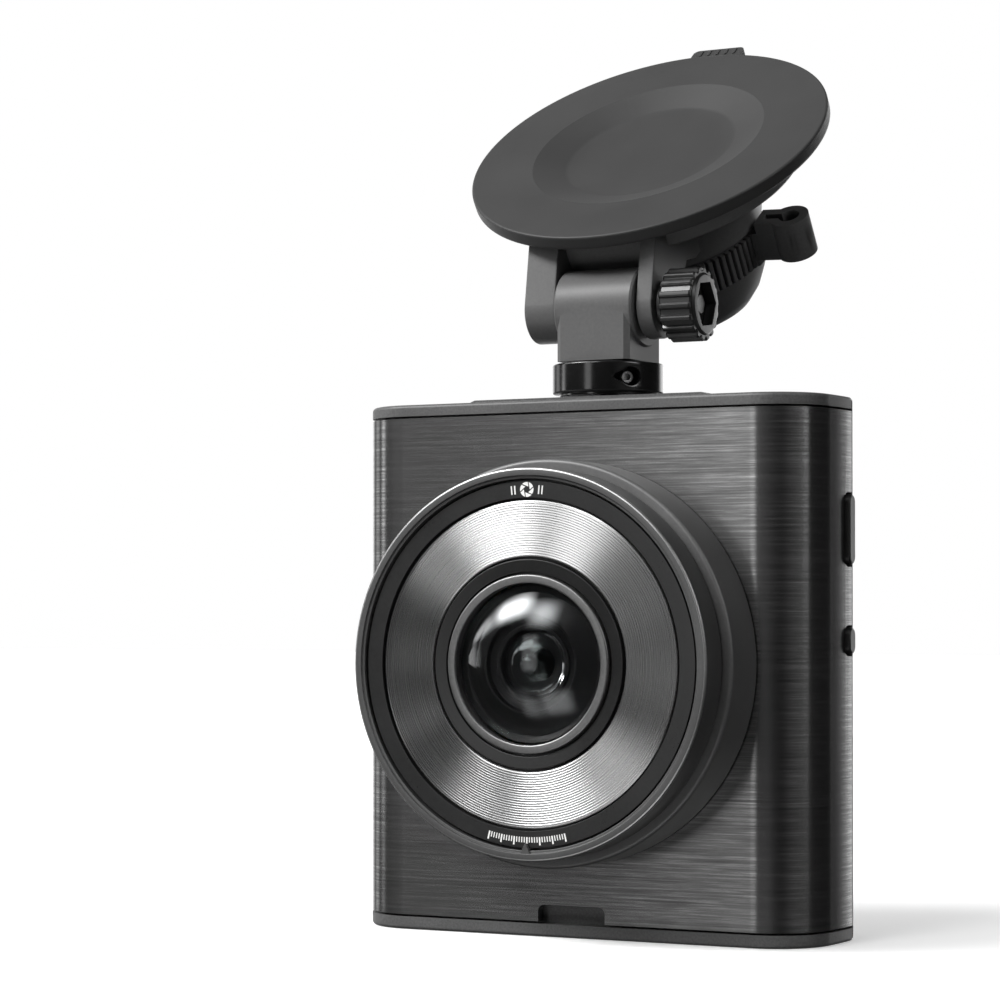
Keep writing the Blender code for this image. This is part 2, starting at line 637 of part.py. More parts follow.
def hexagon(centre, across_corners, start_deg):
    return circle(centre, across_corners / 2, 6, start_deg)


def hexagon_with_steps(across_corners, steps):
    """A hexagon about the origin whose every side is divided into equal steps."""
    corners = hexagon((0.0, 0.0), across_corners, 0.0)
    points = []
    for first, after in zip(corners, corners[1:] + corners[:1]):
        points += [(first[0] + (after[0] - first[0]) * step / steps,
                    first[1] + (after[1] - first[1]) * step / steps) for step in range(steps)]
    return points


def make_cup_housing(looks, cup_frame):
    profile = [(0.0, -SKIRT_THICKNESS - GAP), (FLANGE_RADIUS, -SKIRT_THICKNESS - GAP),
               (FLANGE_RADIUS, -FLANGE_BACK + 0.4), (FLANGE_RADIUS - 0.4, -FLANGE_BACK),
               (FLANGE_RADIUS - 1.6, -FLANGE_BACK), (FLANGE_RADIUS - 2.2, -4.6),
               (NECK_RADIUS, -4.6), (NECK_RADIUS, -NECK_BACK), (0.0, -NECK_BACK)]
    housing = piece("cup_housing", turned(profile, 40), looks["mount_grey"], cup_frame)
    add(housing, gathered(*[prism(arm_outline(), low, high, "YZ")
                            for low, high in (LEFT_ARM_X, RIGHT_ARM_X)]))
    web = [(-20.3, -2.6), (-20.3, -6.9), (-19.6, -8.6), (-19.1, -10.0), (-17.0, -10.0),
           (-15.5, -5.0), (-15.5, -2.6)]
    add(housing, prism(web, LEFT_ARM_X[1] - 0.5, RIGHT_ARM_X[0] + 0.5, "YZ"))
    cavity = [(0.0, -SKIRT_THICKNESS), (PLUNGER_RADIUS + 0.5, -SKIRT_THICKNESS),
              (PLUNGER_RADIUS + 0.5, -6.3), (2.4, -6.3), (2.4, -NECK_BACK - 1.0),
              (0.0, -NECK_BACK - 1.0)]
    cut(housing, turned(cavity, 32))
    hinge = (-CUP_OFFSET_Y, -CUP_OFFSET_Z)
    head = hexagon(hinge, POCKET_ACROSS_CORNERS, 0.0)
    pocket = prism(head, LEFT_ARM_X[0] - 1.0, LEFT_ARM_X[0] + 2.4, "YZ")
    cut(housing, pocket)
    cut(housing, cylinder(hinge, BOLT_HOLE_RADIUS, LEFT_ARM_X[0] + 1.0, RIGHT_ARM_X[1] + 1.0, "YZ"))


def loop_outline(neck_half, lobe_radius, start):
    """Keyhole outline of the finger loop, running out along +X."""
    lobe = (LOOP_CENTRE, 0.0)
    lobe_start = math.degrees(math.asin(neck_half / lobe_radius))
    points = [(start, -neck_half)]
    points += arc(lobe, lobe_radius, -180.0 + lobe_start, 180.0 - lobe_start, 20)
    points.append((start, neck_half))
    return points


def make_lock_knob(looks, cup_frame):
    profile = [(11.0, -LOCK_FRONT), (LOCK_RADIUS - 0.4, -LOCK_FRONT),
               (LOCK_RADIUS - 0.4, -18.9)]
    profile += [(LOCK_RADIUS - 0.9, -20.0), (11.4, -21.6), (10.2, -24.0), (8.7, -25.8),
                (6.5, -27.1), (3.5, -27.8), (0.0, -LOCK_BACK)]
    profile += [(0.0, -25.0), (8.0, -24.2), (8.6, -20.2), (2.7, -20.2), (2.7, -17.2),
                (11.0, -17.2)]
    knob = piece("lock_knob", turned(profile, ROUND_MEDIUM), looks["mount_grey"], cup_frame)
    ribs = []
    for index in range(RIB_COUNT):
        rib = box((LOCK_RADIUS - 1.2, -0.35, -18.6), (LOCK_RADIUS + 0.1, 0.35, -14.1))
        ribs.append(turn_about_z(rib, RIB_START_DEG + index * RIB_STEP_DEG))
    ribs.append(turn_about_z(prism(loop_outline(1.9, 2.7, 12.0), *LOOP_Z), LOOP_TURN_DEG))
    add(knob, gathered(*ribs))
    raised = prism(loop_outline(1.9, 2.7, 13.5), LOOP_Z[0] + 1.0, LOOP_TOP)
    add(knob, turn_about_z(raised, LOOP_TURN_DEG))
    hole = prism(loop_outline(0.6, 1.45, 14.4), LOOP_Z[0] - 1.0, LOOP_TOP + 1.0)
    cut(knob, turn_about_z(hole, LOOP_TURN_DEG))


def make_suction_skirt(looks, cup_frame):
    radius = SKIRT_RADIUS
    profile = [(0.0, -RECESS_DEPTH), (RECESS_INNER_RADIUS, -RECESS_DEPTH),
               (RECESS_OUTER_RADIUS, 0.0), (radius - 0.2, 0.0), (radius, -0.25),
               (radius, -SKIRT_THICKNESS + 0.25), (radius - 0.25, -SKIRT_THICKNESS),
               (0.0, -SKIRT_THICKNESS)]
    skirt = piece("suction_skirt", turned(profile, ROUND_LARGE), looks["rubber"], cup_frame)
    tab = rounded_rectangle(1.4 - 3.9, 1.4 + 3.9, radius - 2.5, radius + 2.3, 0.8)
    add(skirt, prism(tab, -1.9, -0.3))


def make_plunger(looks, cup_frame):
    top = -SKIRT_THICKNESS - GAP
    profile = [(0.0, top), (PLUNGER_RADIUS, top), (PLUNGER_RADIUS, top - 1.2), (2.1, top - 1.2),
               (2.1, -22.3), (0.0, -22.3)]
    rod = piece("pull_rod", turned(profile, 32), looks["button_black"], cup_frame)
    cut(rod, cylinder((0.0, -21.2), 1.0, -4.0, 4.0, "YZ", 12))
    piece("cam_pin", cylinder((0.0, -21.2), 0.6, -6.4, 6.4, "YZ", 12), looks["steel"], cup_frame)


def make_hinge(looks, tilt_axis):
    """Bolt, nut and knob, drawn about the tilt axis, which is the frame's own X axis."""
    head_x = LEFT_ARM_X[0] + 0.1
    shank = circle((0.0, 0.0), BOLT_RADIUS, 24)
    head = hexagon_with_steps(NUT_HEX_ACROSS_CORNERS, 4)
    bolt = layered([(head, head_x), (head, head_x + 2.0), (shank, head_x + 2.0), (shank, 13.4)],
                   "YZ")
    piece("hinge_bolt", bolt, looks["steel"], tilt_axis)
    low, high = KNOB_X
    outline = []
    for rib in range(KNOB_RIBS):
        angle = 360.0 * rib / KNOB_RIBS
        pitch = 360.0 / KNOB_RIBS
        outline += arc((0.0, 0.0), KNOB_RADIUS - KNOB_RIB_DEPTH, angle, angle + 0.34 * pitch, 1)
        outline += arc((0.0, 0.0), KNOB_RADIUS, angle + 0.5 * pitch, angle + 0.84 * pitch, 1)
    shrink = (KNOB_RADIUS - 0.5) / KNOB_RADIUS
    end = [(y * shrink, z * shrink) for y, z in outline]
    knob = piece("tilt_knob", layered([(outline, low), (outline, high - 0.5), (end, high)], "YZ"),
                 looks["knob_black"], tilt_axis)
    add(knob, cylinder((0.0, 0.0), 3.3, RIGHT_ARM_X[1] + GAP, low + 1.0, "YZ", 24))
    cut(knob, prism(hexagon((0.0, 0.0), POCKET_ACROSS_CORNERS, 90.0), high - 3.6, high + 1.0, "YZ"))
    cut(knob, cylinder((0.0, 0.0), BOLT_HOLE_RADIUS, low - 2.0, high - 3.0, "YZ"))
    nut = piece("hinge_nut", prism(hexagon((0.0, 0.0), 5.9, 90.0), high - 3.3, high - 1.4, "YZ"),
                looks["steel"], tilt_axis)
    cut(nut, cylinder((0.0, 0.0), BOLT_HOLE_RADIUS, low - 2.0, high + 1.0, "YZ"))


def make_looks():
    return {
        "brushed_cover": finish("brushed_cover", (0.055, 0.056, 0.058), 0.38, 0.75),
        "cap_grey": finish("cap_grey", (0.075, 0.076, 0.078), 0.55),
        "housing_grey": finish("housing_grey", (0.06, 0.061, 0.063), 0.6),
        "panel_dark": finish("panel_dark", (0.03, 0.03, 0.031), 0.45),
        "screen": finish("screen", (0.02, 0.02, 0.025), 0.1),
        "button_black": finish("button_black", (0.02, 0.02, 0.02), 0.5),
        "board_green": finish("board_green", (0.02, 0.12, 0.06), 0.5),
        "steel": finish("steel", (0.5, 0.5, 0.5), 0.3, 1.0),
        "battery_grey": finish("battery_grey", (0.35, 0.36, 0.38), 0.4, 0.3),
        "barrel_black": finish("barrel_black", (0.02, 0.02, 0.021), 0.35),
        "spun_metal": finish("spun_metal", (0.45, 0.45, 0.45), 0.25, 1.0),
        "retainer_grey": finish("retainer_grey", (0.16, 0.16, 0.165), 0.4, 0.6),
        "glass": finish("glass", (0.02, 0.02, 0.03), 0.03),
        "collar_black": finish("collar_black", (0.015, 0.015, 0.015), 0.2),
        "mount_grey": finish("mount_grey", (0.08, 0.08, 0.082), 0.5),
        "knob_black": finish("knob_black", (0.02, 0.02, 0.02), 0.3),
        "rubber": finish("rubber", (0.055, 0.055, 0.056), 0.7),
    }


def main():
    for item in list(bpy.data.objects):
        bpy.data.objects.remove(item, do_unlink=True)
    looks = make_looks()
    make_front_cover(looks)
    make_top_cap(looks)
    make_bottom_cap(looks)
    make_rear_housing(looks)
    make_back_panel(looks)
    make_screen(looks)
    make_menu_keys(looks)
    make_side_buttons(looks)
    make_electronics(looks)
    make_barrel(looks)
    make_lens(looks)
    swivel_axis = axis_frame("swivel_axis", (0.0, 0.0, 0.0))
    make_swivel(looks, swivel_axis)
    tilt_axis = axis_frame("tilt_axis", (0.0, 0.0, HINGE_Z), CUP_TILT_DEG, swivel_axis)
    make_hinge(looks, tilt_axis)
    cup_frame = axis_frame("cup_frame", (0.0, CUP_OFFSET_Y, CUP_OFFSET_Z), 0.0, tilt_axis)
    make_cup_housing(looks, cup_frame)
    make_lock_knob(looks, cup_frame)
    make_suction_skirt(looks, cup_frame)
    make_plunger(looks, cup_frame)


main()
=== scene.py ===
"""Looks for the dash camera: detailed shells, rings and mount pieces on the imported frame.

Lengths are millimetres unless a name says otherwise, and MM turns them into the frame's metres.
X runs to the right seen from the lens side, the lens looks along -Y, and Z is up. Pieces of the
lens are drawn about its axis, pieces of the suction cup about the cup's axis, and pieces of the
hinge about the tilt axis; each set has its own placing matrix.
"""

import json
import math

import bmesh
import bpy
from mathutils import Matrix, Vector


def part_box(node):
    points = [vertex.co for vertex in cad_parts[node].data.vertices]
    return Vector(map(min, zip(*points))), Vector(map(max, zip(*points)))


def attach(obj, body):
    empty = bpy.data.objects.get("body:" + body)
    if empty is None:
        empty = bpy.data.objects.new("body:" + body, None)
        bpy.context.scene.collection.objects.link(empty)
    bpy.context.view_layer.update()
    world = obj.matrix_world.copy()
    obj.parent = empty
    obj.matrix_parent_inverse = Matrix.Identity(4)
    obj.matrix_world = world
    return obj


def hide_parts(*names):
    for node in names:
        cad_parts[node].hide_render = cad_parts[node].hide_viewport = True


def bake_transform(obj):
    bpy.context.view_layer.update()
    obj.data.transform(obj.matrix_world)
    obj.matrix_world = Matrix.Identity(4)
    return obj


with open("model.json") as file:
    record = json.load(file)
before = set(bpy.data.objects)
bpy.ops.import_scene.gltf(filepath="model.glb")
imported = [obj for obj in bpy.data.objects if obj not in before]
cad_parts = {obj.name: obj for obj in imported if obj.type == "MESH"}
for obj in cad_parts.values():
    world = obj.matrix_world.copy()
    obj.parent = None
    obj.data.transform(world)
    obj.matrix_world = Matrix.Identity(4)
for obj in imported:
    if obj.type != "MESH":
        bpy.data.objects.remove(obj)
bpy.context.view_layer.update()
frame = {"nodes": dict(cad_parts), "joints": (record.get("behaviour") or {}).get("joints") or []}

MM = 0.001
GAP = 0.3


def box_mm(node):
    low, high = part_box(node)
    return low / MM, high / MM


def joint_at(name):
    found = [joint for joint in frame["joints"] if joint["name"] == name][0]
    return Vector(found["pos_m"]) / MM


# ---------------------------------------------------------------- sizes

COVER_LOW, COVER_HIGH = box_mm("front_cover")
PANEL_LOW, PANEL_HIGH = box_mm("back_panel")
BODY_HALF = COVER_HIGH.x
FRONT_Y = COVER_LOW.y
PARTING_Y = COVER_HIGH.y
BACK_Y = box_mm("rear_housing")[1].y
CORNER_RADIUS = 8.1
SIDE_BOW_MM = 0.37
SIDE_BOW_DEG = 6.3
SIDE_BOW_LENGTH = 6.7
WALL = 1.5
PLATFORM_HEIGHT = 0.6
PLATFORM_HALF = 18.0
PLATFORM_DEPTH = 7.0
PLATFORM_RAMP = 1.5
BODY_HEIGHT = box_mm("top_cap")[1].z - PLATFORM_HEIGHT
TOP_SEAM = COVER_HIGH.z + GAP
BOTTOM_SEAM = COVER_LOW.z - GAP
CAP_ROUND = 0.5
SEAM_TAB_HALF = 10.0
LIP_HEIGHT = 1.5
BOTTOM_LIP_HEIGHT = 2.8
SWIVEL_SCREW_HOLE = 1.75
NOTCH_HALF = 4.8
NOTCH_TOP = 4.2
HOUSING_TAPER_SIDE = BODY_HALF - (PANEL_HIGH.x + GAP + 0.4)
HOUSING_TAPER_END = PANEL_LOW.z - GAP - 0.4
PANEL_RIM = 0.4
PANEL_THICKNESS = 1.3
INNER_WALL = 1.4
WINDOW_LOW = 8.6

SCREEN_HALF = (24.48, 18.36)
SCREEN_CENTRE_Z = 36.75
SCREEN_MARGIN = 2.1
SCREEN_Y = BACK_Y - 0.2
KEY_PITCH = 11.5
KEY_CENTRE_Z = 11.9
KEY_SLOT_HALF = (23.5, 2.4)
KEY_RAISED_HALF = 1.3
KEY_CORNER = 0.12

BUTTON_LOW_Y = 0.3
BUTTON_HIGH_Y = 2.5
BUTTON_PROUD = 0.6
BUTTON_ROUND = 0.35
POWER_Z = (48.4, 57.4)
RESET_Z = (36.9, 40.3)
USB_Y = (-5.8, -3.0)
USB_Z = (40.0, 49.0)
CARD_Y = (-4.6, -3.0)
CARD_Z = (18.0, 29.5)

LENS_Z = 35.7
BASE_RADIUS = box_mm("barrel_base_ring")[1].x
BASE_TOP = 8.0
FRONT_RADIUS = box_mm("barrel_front_ring")[1].x
FRONT_TOP = FRONT_Y - box_mm("barrel_front_ring")[0].y
RIM_INNER = 23.4
EDGE_WIDTH = 0.6
SEAT = 11.3
SLEEVE = 22.3
SPIGOT = 20.0
MARKING_TOP = 12.6
DISH_INNER = 13.55
DISH_OUTER = 20.65
DISH_TOP = 12.38
GROOVE_COUNT = 22
GROOVE_SLOPE_DEG = 13.5
GROOVE_OUTER_SHARE = 0.74
RETAINER_INNER = 10.2
RETAINER_OUTER = 11.35
RETAINER_TOP = 12.7
GLASS_RADIUS = 9.9
GLASS_EDGE = 11.6
GLASS_TOP = 14.8
SECOND_RADIUS = 3.9

COLLAR_RADIUS = box_mm("swivel_collar")[1].x
COLLAR_LOW = 70.9
COLLAR_HIGH = 75.2
SET_SCREW_AT = (0.5, 73.2)
SET_SCREW_TURN_DEG = 45.0
STEM_HALF = 5.3
STEM_CHAMFER = 0.7
EYE_RADIUS = 5.3
EYE_HALF_WIDTH = 5.65
BOLT_RADIUS = 1.5
BOLT_HOLE = 1.8
THREAD_X = 9.6
THREAD_TURNS = 7
HINGE_AT = joint_at("tilt")

CUP_TILT_DEG = 37.5
CUP_OFFSET = Vector((0.0, 24.6, 11.5))
SKIRT_RADIUS = 25.2
SKIRT_THICKNESS = 2.0
RECESS_OUTER = 16.4
RECESS_INNER = 11.65
RECESS_DEPTH = 1.5
MEMBRANE_THICKNESS = 0.6
SKIRT_TAB_X = 1.4
LEFT_ARM_X = (-10.5, -5.95)
RIGHT_ARM_X = (5.95, 8.2)
ARM_ROUND = 4.3
FLANGE_RADIUS = 20.4
CONE_RADIUS = 11.1
LOCK_RADIUS = 13.0
LOCK_BODY = LOCK_RADIUS - 0.4
RIB_RECESS_DEG = (-64.5, -10.5)
LOOP_CENTRE = 18.1
LOOP_HALVES = (1.9, 2.7)
LOOP_TURN_DEG = -3.0
LOOP_Z = (-18.2, -14.0)
LOOP_TOP = -12.4
KNOB_RADIUS = 4.9
KNOB_X = (9.3, 14.2)
KNOB_RIBS = 18
KNOB_RIB_DEPTH = 0.42
HEX_POCKET = 6.5

CUP_HINGE = (-CUP_OFFSET.y, -CUP_OFFSET.z)
AT_BODY = Matrix.Identity(4)
AT_LENS = Matrix.Translation((0.0, FRONT_Y, LENS_Z)) @ Matrix.Rotation(math.radians(90), 4, 'X')
AT_TILT = Matrix.Translation(HINGE_AT) @ Matrix.Rotation(math.radians(CUP_TILT_DEG), 4, 'X')
AT_CUP = AT_TILT @ Matrix.Translation(CUP_OFFSET)

SMOOTH_ANGLE = math.radians(32)
ORIGIN = (0.0, 0.0)
FLOOR_HALF = 2500.0


# ---------------------------------------------------------------- outlines

def arc(centre, radius, start_deg, end_deg, steps):
    points = []
    for index in range(steps + 1):
        angle = math.radians(start_deg + (end_deg - start_deg) * index / steps)
        points.append((centre[0] + radius * math.cos(angle), centre[1] + radius * math.sin(angle)))
    return points


def circle(centre, radius, steps, start_deg=0.0):
    return arc(centre, radius, start_deg, start_deg + 360.0, steps)[:-1]


def hexagon(centre, across_corners, start_deg):
    return circle(centre, across_corners / 2, 6, start_deg)


def rectangle(low_a, high_a, low_b, high_b):
    return [(low_a, low_b), (high_a, low_b), (high_a, high_b), (low_a, high_b)]


def rounded(low_a, high_a, low_b, high_b, radius, steps=8, low_radius=None):
    """A rectangle with round corners; those at low_a may have a radius of their own."""
    other = radius if low_radius is None else low_radius
    points = arc((high_a - radius, low_b + radius), radius, -90.0, 0.0, steps)
    points += arc((high_a - radius, high_b - radius), radius, 0.0, 90.0, steps)
    points += arc((low_a + other, high_b - other), other, 90.0, 180.0, steps)
    points += arc((low_a + other, low_b + other), other, 180.0, 270.0, steps)
    return points


def pad(centre, half, radius):
    """A rectangle with round corners about its centre."""
    return rounded(centre[0] - half[0], centre[0] + half[0], centre[1] - half[1],
                   centre[1] + half[1], radius)


def quarter_round(size, steps):
    """(inset, rise) pairs of a rounded edge, from the wall to the face."""
    angles = [math.radians(90.0 * index / steps) for index in range(steps + 1)]
    return [(size * (1 - math.cos(angle)), size * math.sin(angle)) for angle in angles]


def eased(outline, radius, steps=3):
    """The closed outline with its corners rounded; a third number in a point is its own radius."""
    result = []
    for index, point in enumerate(outline):
        at = Vector(point[:2])
        back = Vector(outline[index - 1][:2]) - at
        onward = Vector(outline[(index + 1) % len(outline)][:2]) - at
        size = point[2] if len(point) > 2 else radius
        turn = math.pi - back.angle(onward)
        if size <= 0.0 or turn < math.radians(20):
            result.append((at.x, at.y))
            continue
        reach = min(size * math.tan(turn / 2), 0.48 * back.length, 0.48 * onward.length)
        start = at + back.normalized() * reach
        end = at + onward.normalized() * reach
        for step in range(steps + 1):
            share = step / steps
            place = start.lerp(at, share).lerp(at.lerp(end, share), share)
            result.append((place.x, place.y))
    return result


def turned_outline(outline, degrees):
    turn = Matrix.Rotation(math.radians(degrees), 2)
    return [tuple(turn @ Vector(point)) for point in outline]


def moved_outline(outline, step_a, step_b):
    return [(a + step_a, b + step_b) for a, b in outline]


def body_section(inset, back_y=PARTING_Y):
    """Section of the body from above: flat front, round corners, bowed sides, open back edge."""
    half = BODY_HALF - inset
    right = [(half, back_y)]
    for index in range(1, 7):
        share = index / 6
        right.append((half - SIDE_BOW_MM * share ** 2, PARTING_Y - SIDE_BOW_LENGTH * share))
    radius = CORNER_RADIUS - inset
    turn = math.radians(SIDE_BOW_DEG)
    centre = (half - SIDE_BOW_MM - radius * math.cos(turn), FRONT_Y + CORNER_RADIUS)
    right += arc(centre, radius, -SIDE_BOW_DEG, -90.0, 24)
    return [(-x, y) for x, y in right] + list(reversed(right))


# ---------------------------------------------------------------- solids

PLANE_ORDER = {
    "XY": lambda a, b, h: (a, b, h),
    "XZ": lambda a, b, h: (a, h, b),
    "YZ": lambda a, b, h: (h, a, b),
}


def layered(sections, plane="XY"):
    """A closed solid through outlines of equal point count, each at its own height."""
    place = PLANE_ORDER[plane]
    solid = bmesh.new()
    rings = [[solid.verts.new(place(a, b, h)) for a, b in outline] for outline, h in sections]
    solid.faces.new(rings[0])
    solid.faces.new(rings[-1])
    for lower, upper in zip(rings, rings[1:]):
        for index in range(len(lower)):
            after = (index + 1) % len(lower)
            solid.faces.new((lower[index], lower[after], upper[after], upper[index]))
    bmesh.ops.recalc_face_normals(solid, faces=solid.faces)
    return solid


def prism(outline, low, high, plane="XY"):
    return layered([(outline, low), (outline, high)], plane)


def cylinder(centre, radius, low, high, plane="XY", steps=48):
    return prism(circle(centre, radius, steps), low, high, plane)


def turned(profile, steps):
    """A closed (radius, height) outline spun about Z; points on the axis stay single."""
    solid = bmesh.new()
    rings = []
    for radius, height in profile:
        if radius < 1e-6:
            rings.append([solid.verts.new((0.0, 0.0, height))] * steps)
        else:
            rings.append([solid.verts.new((a, b, height))
                          for a, b in circle(ORIGIN, radius, steps)])
    for index, first in enumerate(rings):
        second = rings[(index + 1) % len(rings)]
        for step in range(steps):
            after = (step + 1) % steps
            corners = []
            for vert in (first[step], first[after], second[after], second[step]):
                if vert not in corners:
                    corners.append(vert)
            if len(corners) > 2:
                solid.faces.new(corners)
    bmesh.ops.recalc_face_normals(solid, faces=solid.faces)
    return solid


def turn_about_z(solid, degrees):
    turn = Matrix.Rotation(math.radians(degrees), 3, 'Z')
    bmesh.ops.rotate(solid, cent=(0, 0, 0), verts=solid.verts, matrix=turn)
    return solid


def gathered(solids):
    """Separate solids in one mesh."""
    whole = bmesh.new()
    for solid in solids:
        carrier = bpy.data.meshes.new("carrier")
        solid.to_mesh(carrier)
        solid.free()
        whole.from_mesh(carrier)
        bpy.data.meshes.remove(carrier)
    return whole


# ---------------------------------------------------------------- pieces

def placed_object(name, solid, placing):
    """An object at the origin whose mesh is in the row frame, in metres."""
    mesh = bpy.data.meshes.new(name)
    solid.to_mesh(mesh)
    solid.free()
    mesh.transform(Matrix.Scale(MM, 4) @ placing)
    item = bpy.data.objects.new(name, mesh)
    bpy.context.scene.collection.objects.link(item)
    return item


class Piece:
    """A visible piece while it is made; the solids joined to it or cut from it share its placing."""

    def __init__(self, name, solid, placing=AT_BODY):
        self.placing = placing
        self.item = placed_object(name, solid, placing)

    def settle(self):
        """Turns the object's modifiers into its mesh."""
        bpy.context.view_layer.update()
        graph = bpy.context.evaluated_depsgraph_get()
        result = bpy.data.meshes.new_from_object(self.item.evaluated_get(graph))
        self.item.modifiers.clear()
        self.item.data = result
        return self

    def combine(self, operation, solids, placing):
        for solid in solids:
            other = placed_object(f"{self.item.name}_tool", solid, placing)
            step = self.item.modifiers.new("combine", 'BOOLEAN')
            step.operation = operation
            step.solver = 'EXACT'
            step.object = other
            self.settle()
            bpy.data.objects.remove(other)
        return self

    def join(self, *solids, placing=None):
        return self.combine('UNION', solids, placing or self.placing)

    def cut(self, *solids):
        return self.combine('DIFFERENCE', solids, self.placing)

    def soften(self, width, segments=3, angle_deg=35.0):
        """Rounds every edge sharper than the angle."""
        step = self.item.modifiers.new("soften", 'BEVEL')
        step.width = width * MM
        step.segments = segments
        step.limit_method = 'ANGLE'
        step.angle_limit = math.radians(angle_deg)
        step.miter_outer = 'MITER_ARC'
        step.use_clamp_overlap = True
        return self.settle()

    def finish(self, body, slot, look, *nodes):
        """Last step: smooth shading, material, body and the CAD nodes the piece stands for."""
        mesh = self.item.data
        mesh.materials.clear()
        mesh.materials.append(LOOKS[look])
        mesh.shade_smooth()
        mesh.set_sharp_from_angle(angle=SMOOTH_ANGLE)
        weigh = self.item.modifiers.new("weigh", 'WEIGHTED_NORMAL')
        weigh.keep_sharp = True
        self.settle()
        if body:
            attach(self.item, body)
        if nodes:
            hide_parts(*nodes)
        return self.item


# ---------------------------------------------------------------- node trees

class Tree:
    """Shorthand for building one node tree."""

    def __init__(self, tree):
        self.nodes = tree.nodes
        self.links = tree.links

    def put(self, socket, value):
        if isinstance(value, bpy.types.NodeSocket):
            self.links.new(value, socket)
        else:
            socket.default_value = value

    def add(self, kind, inputs=None, **settings):
        node = self.nodes.new(kind)
        for key, value in settings.items():
            setattr(node, key, value)
        for key, value in (inputs or {}).items():
            self.put(node.inputs[key], value)
        return node

    def math(self, operation, first, second=0.0):
        return self.add("ShaderNodeMath", {0: first, 1: second}, operation=operation).outputs[0]

    def blend(self, first, second, share):
        """First times share plus second times the rest."""
        return self.math('ADD', self.math('MULTIPLY', first, share),
                         self.math('MULTIPLY', second, 1.0 - share))

    def place(self, per_mm=(1.0, 1.0, 1.0), shift=(0.0, 0.0, 0.0)):
        """Object coordinates in millimetres, times the given factors."""
        spot = self.add("ShaderNodeTexCoord").outputs["Object"]
        scale = tuple(factor / MM for factor in per_mm)
        return self.add("ShaderNodeVectorMath", {0: spot, 1: scale, 2: shift},
                        operation='MULTIPLY_ADD').outputs[0]

    def parts(self, vector):
        return self.add("ShaderNodeSeparateXYZ", {0: vector}).outputs

    def vector(self, x, y=0.0):
        return self.add("ShaderNodeCombineXYZ", {0: x, 1: y}).outputs[0]

    def noise(self, vector, scale=1.0, detail=4.0, roughness=0.55):
        return self.add("ShaderNodeTexNoise", {"Vector": vector, "Scale": scale, "Detail": detail,
                                               "Roughness": roughness}).outputs["Fac"]

    def grain(self, per_mm, detail=4.0, roughness=0.55):
        return self.noise(self.place((per_mm,) * 3), detail=detail, roughness=roughness)

    def spread(self, value, low, high, to_low=0.0, to_high=1.0, kind='LINEAR'):
        node = self.add("ShaderNodeMapRange", {"Value": value, "From Min": low, "From Max": high,
                                               "To Min": to_low, "To Max": to_high},
                        interpolation_type=kind)
        return node.outputs["Result"]

    def ramp(self, value, stops):
        node = self.add("ShaderNodeValToRGB", {"Fac": value})
        marks = node.color_ramp.elements
        while len(marks) < len(stops):
            marks.new(0.5)
        for mark, (position, colour) in zip(marks, stops):
            mark.position = position
            mark.color = (*colour, 1.0)
        return node.outputs["Color"]

    def greys(self, value, low, high):
        return self.ramp(value, [(0.3, grey(low)), (0.7, grey(high))])

    def mix(self, share, first, second):
        node = self.add("ShaderNodeMix", {0: share}, data_type='RGBA')
        for socket, colour in ((6, first), (7, second)):
            if isinstance(colour, tuple):
                colour = (*colour, 1.0)
            self.put(node.inputs[socket], colour)
        return node.outputs[2]

    def bump(self, height, depth_mm):
        return self.add("ShaderNodeBump", {"Height": height, "Distance": depth_mm * MM,
                                           "Strength": 1.0}).outputs["Normal"]


class Look(Tree):
    """One material: what is constant sits on the shader's sockets, and wire() links the rest."""

    def __init__(self, name, **constants):
        self.material = bpy.data.materials.new(name)
        self.material.use_nodes = True
        super().__init__(self.material.node_tree)
        self.shader = self.nodes["Principled BSDF"]
        self.wire(**constants)

    def wire(self, **values):
        for key, value in values.items():
            self.put(self.shader.inputs[key.replace("_", " ")], value)
        return self.material


def grey(level):
    return (level, level, level)


# ---------------------------------------------------------------- materials

def mottled(name, levels, gloss, grain, drift=None, share=1.0, depth_mm=0.004, **constants):
    """Grey surface: colour and gloss follow a fine grain and a slow drift, relief the grain."""
    look = Look(name, **constants)
    fine = look.grain(*grain)
    tone = look.blend(fine, look.grain(*drift), share) if drift else fine
    return look.wire(Base_Color=look.greys(tone, *levels),
                     Roughness=look.spread(tone, 0.3, 0.7, *gloss),
                     Normal=look.bump(fine, depth_mm))


def matte_plastic(name, low, high, roughness, grain_mm=0.22, depth_mm=0.006, specular=0.5):
    """Moulded or painted plastic: fine grain, soft cloudiness and uneven gloss."""
    return mottled(name, (low, high), (roughness - 0.05, roughness + 0.05),
                   (1 / grain_mm, 3.0, 0.6), (0.09, 3.0), 0.65, depth_mm,
                   Specular_IOR_Level=specular)


def satin_ring(name, low, high, roughness, metallic=0.0, specular=0.5):
    """Anodised or moulded ring, with faint turning marks."""
    return mottled(name, (low, high), (roughness - 0.04, roughness + 0.06), (2.6, 4.0),
                   (0.12, 2.0), 0.5, 0.002, Metallic=metallic, Specular_IOR_Level=specular)


def turned_steel(name, low, high, roughness):
    return mottled(name, (low, high), (roughness - 0.06, roughness + 0.1), (3.0, 5.0, 0.65),
                   Metallic=1.0)


def suction_rubber():
    """Smooth dark rubber with a faint bloom."""
    return mottled("suction_rubber", (0.03, 0.042), (0.46, 0.58), (5.0, 2.0), (0.07, 4.0), 0.3,
                   0.003, Sheen_Weight=0.08, Sheen_Roughness=0.5, Specular_IOR_Level=0.42)


def battery_wrap():
    return mottled("battery_wrap", (0.28, 0.42), (0.3, 0.5), (0.3, 5.0), depth_mm=0.02,
                   Metallic=0.3)


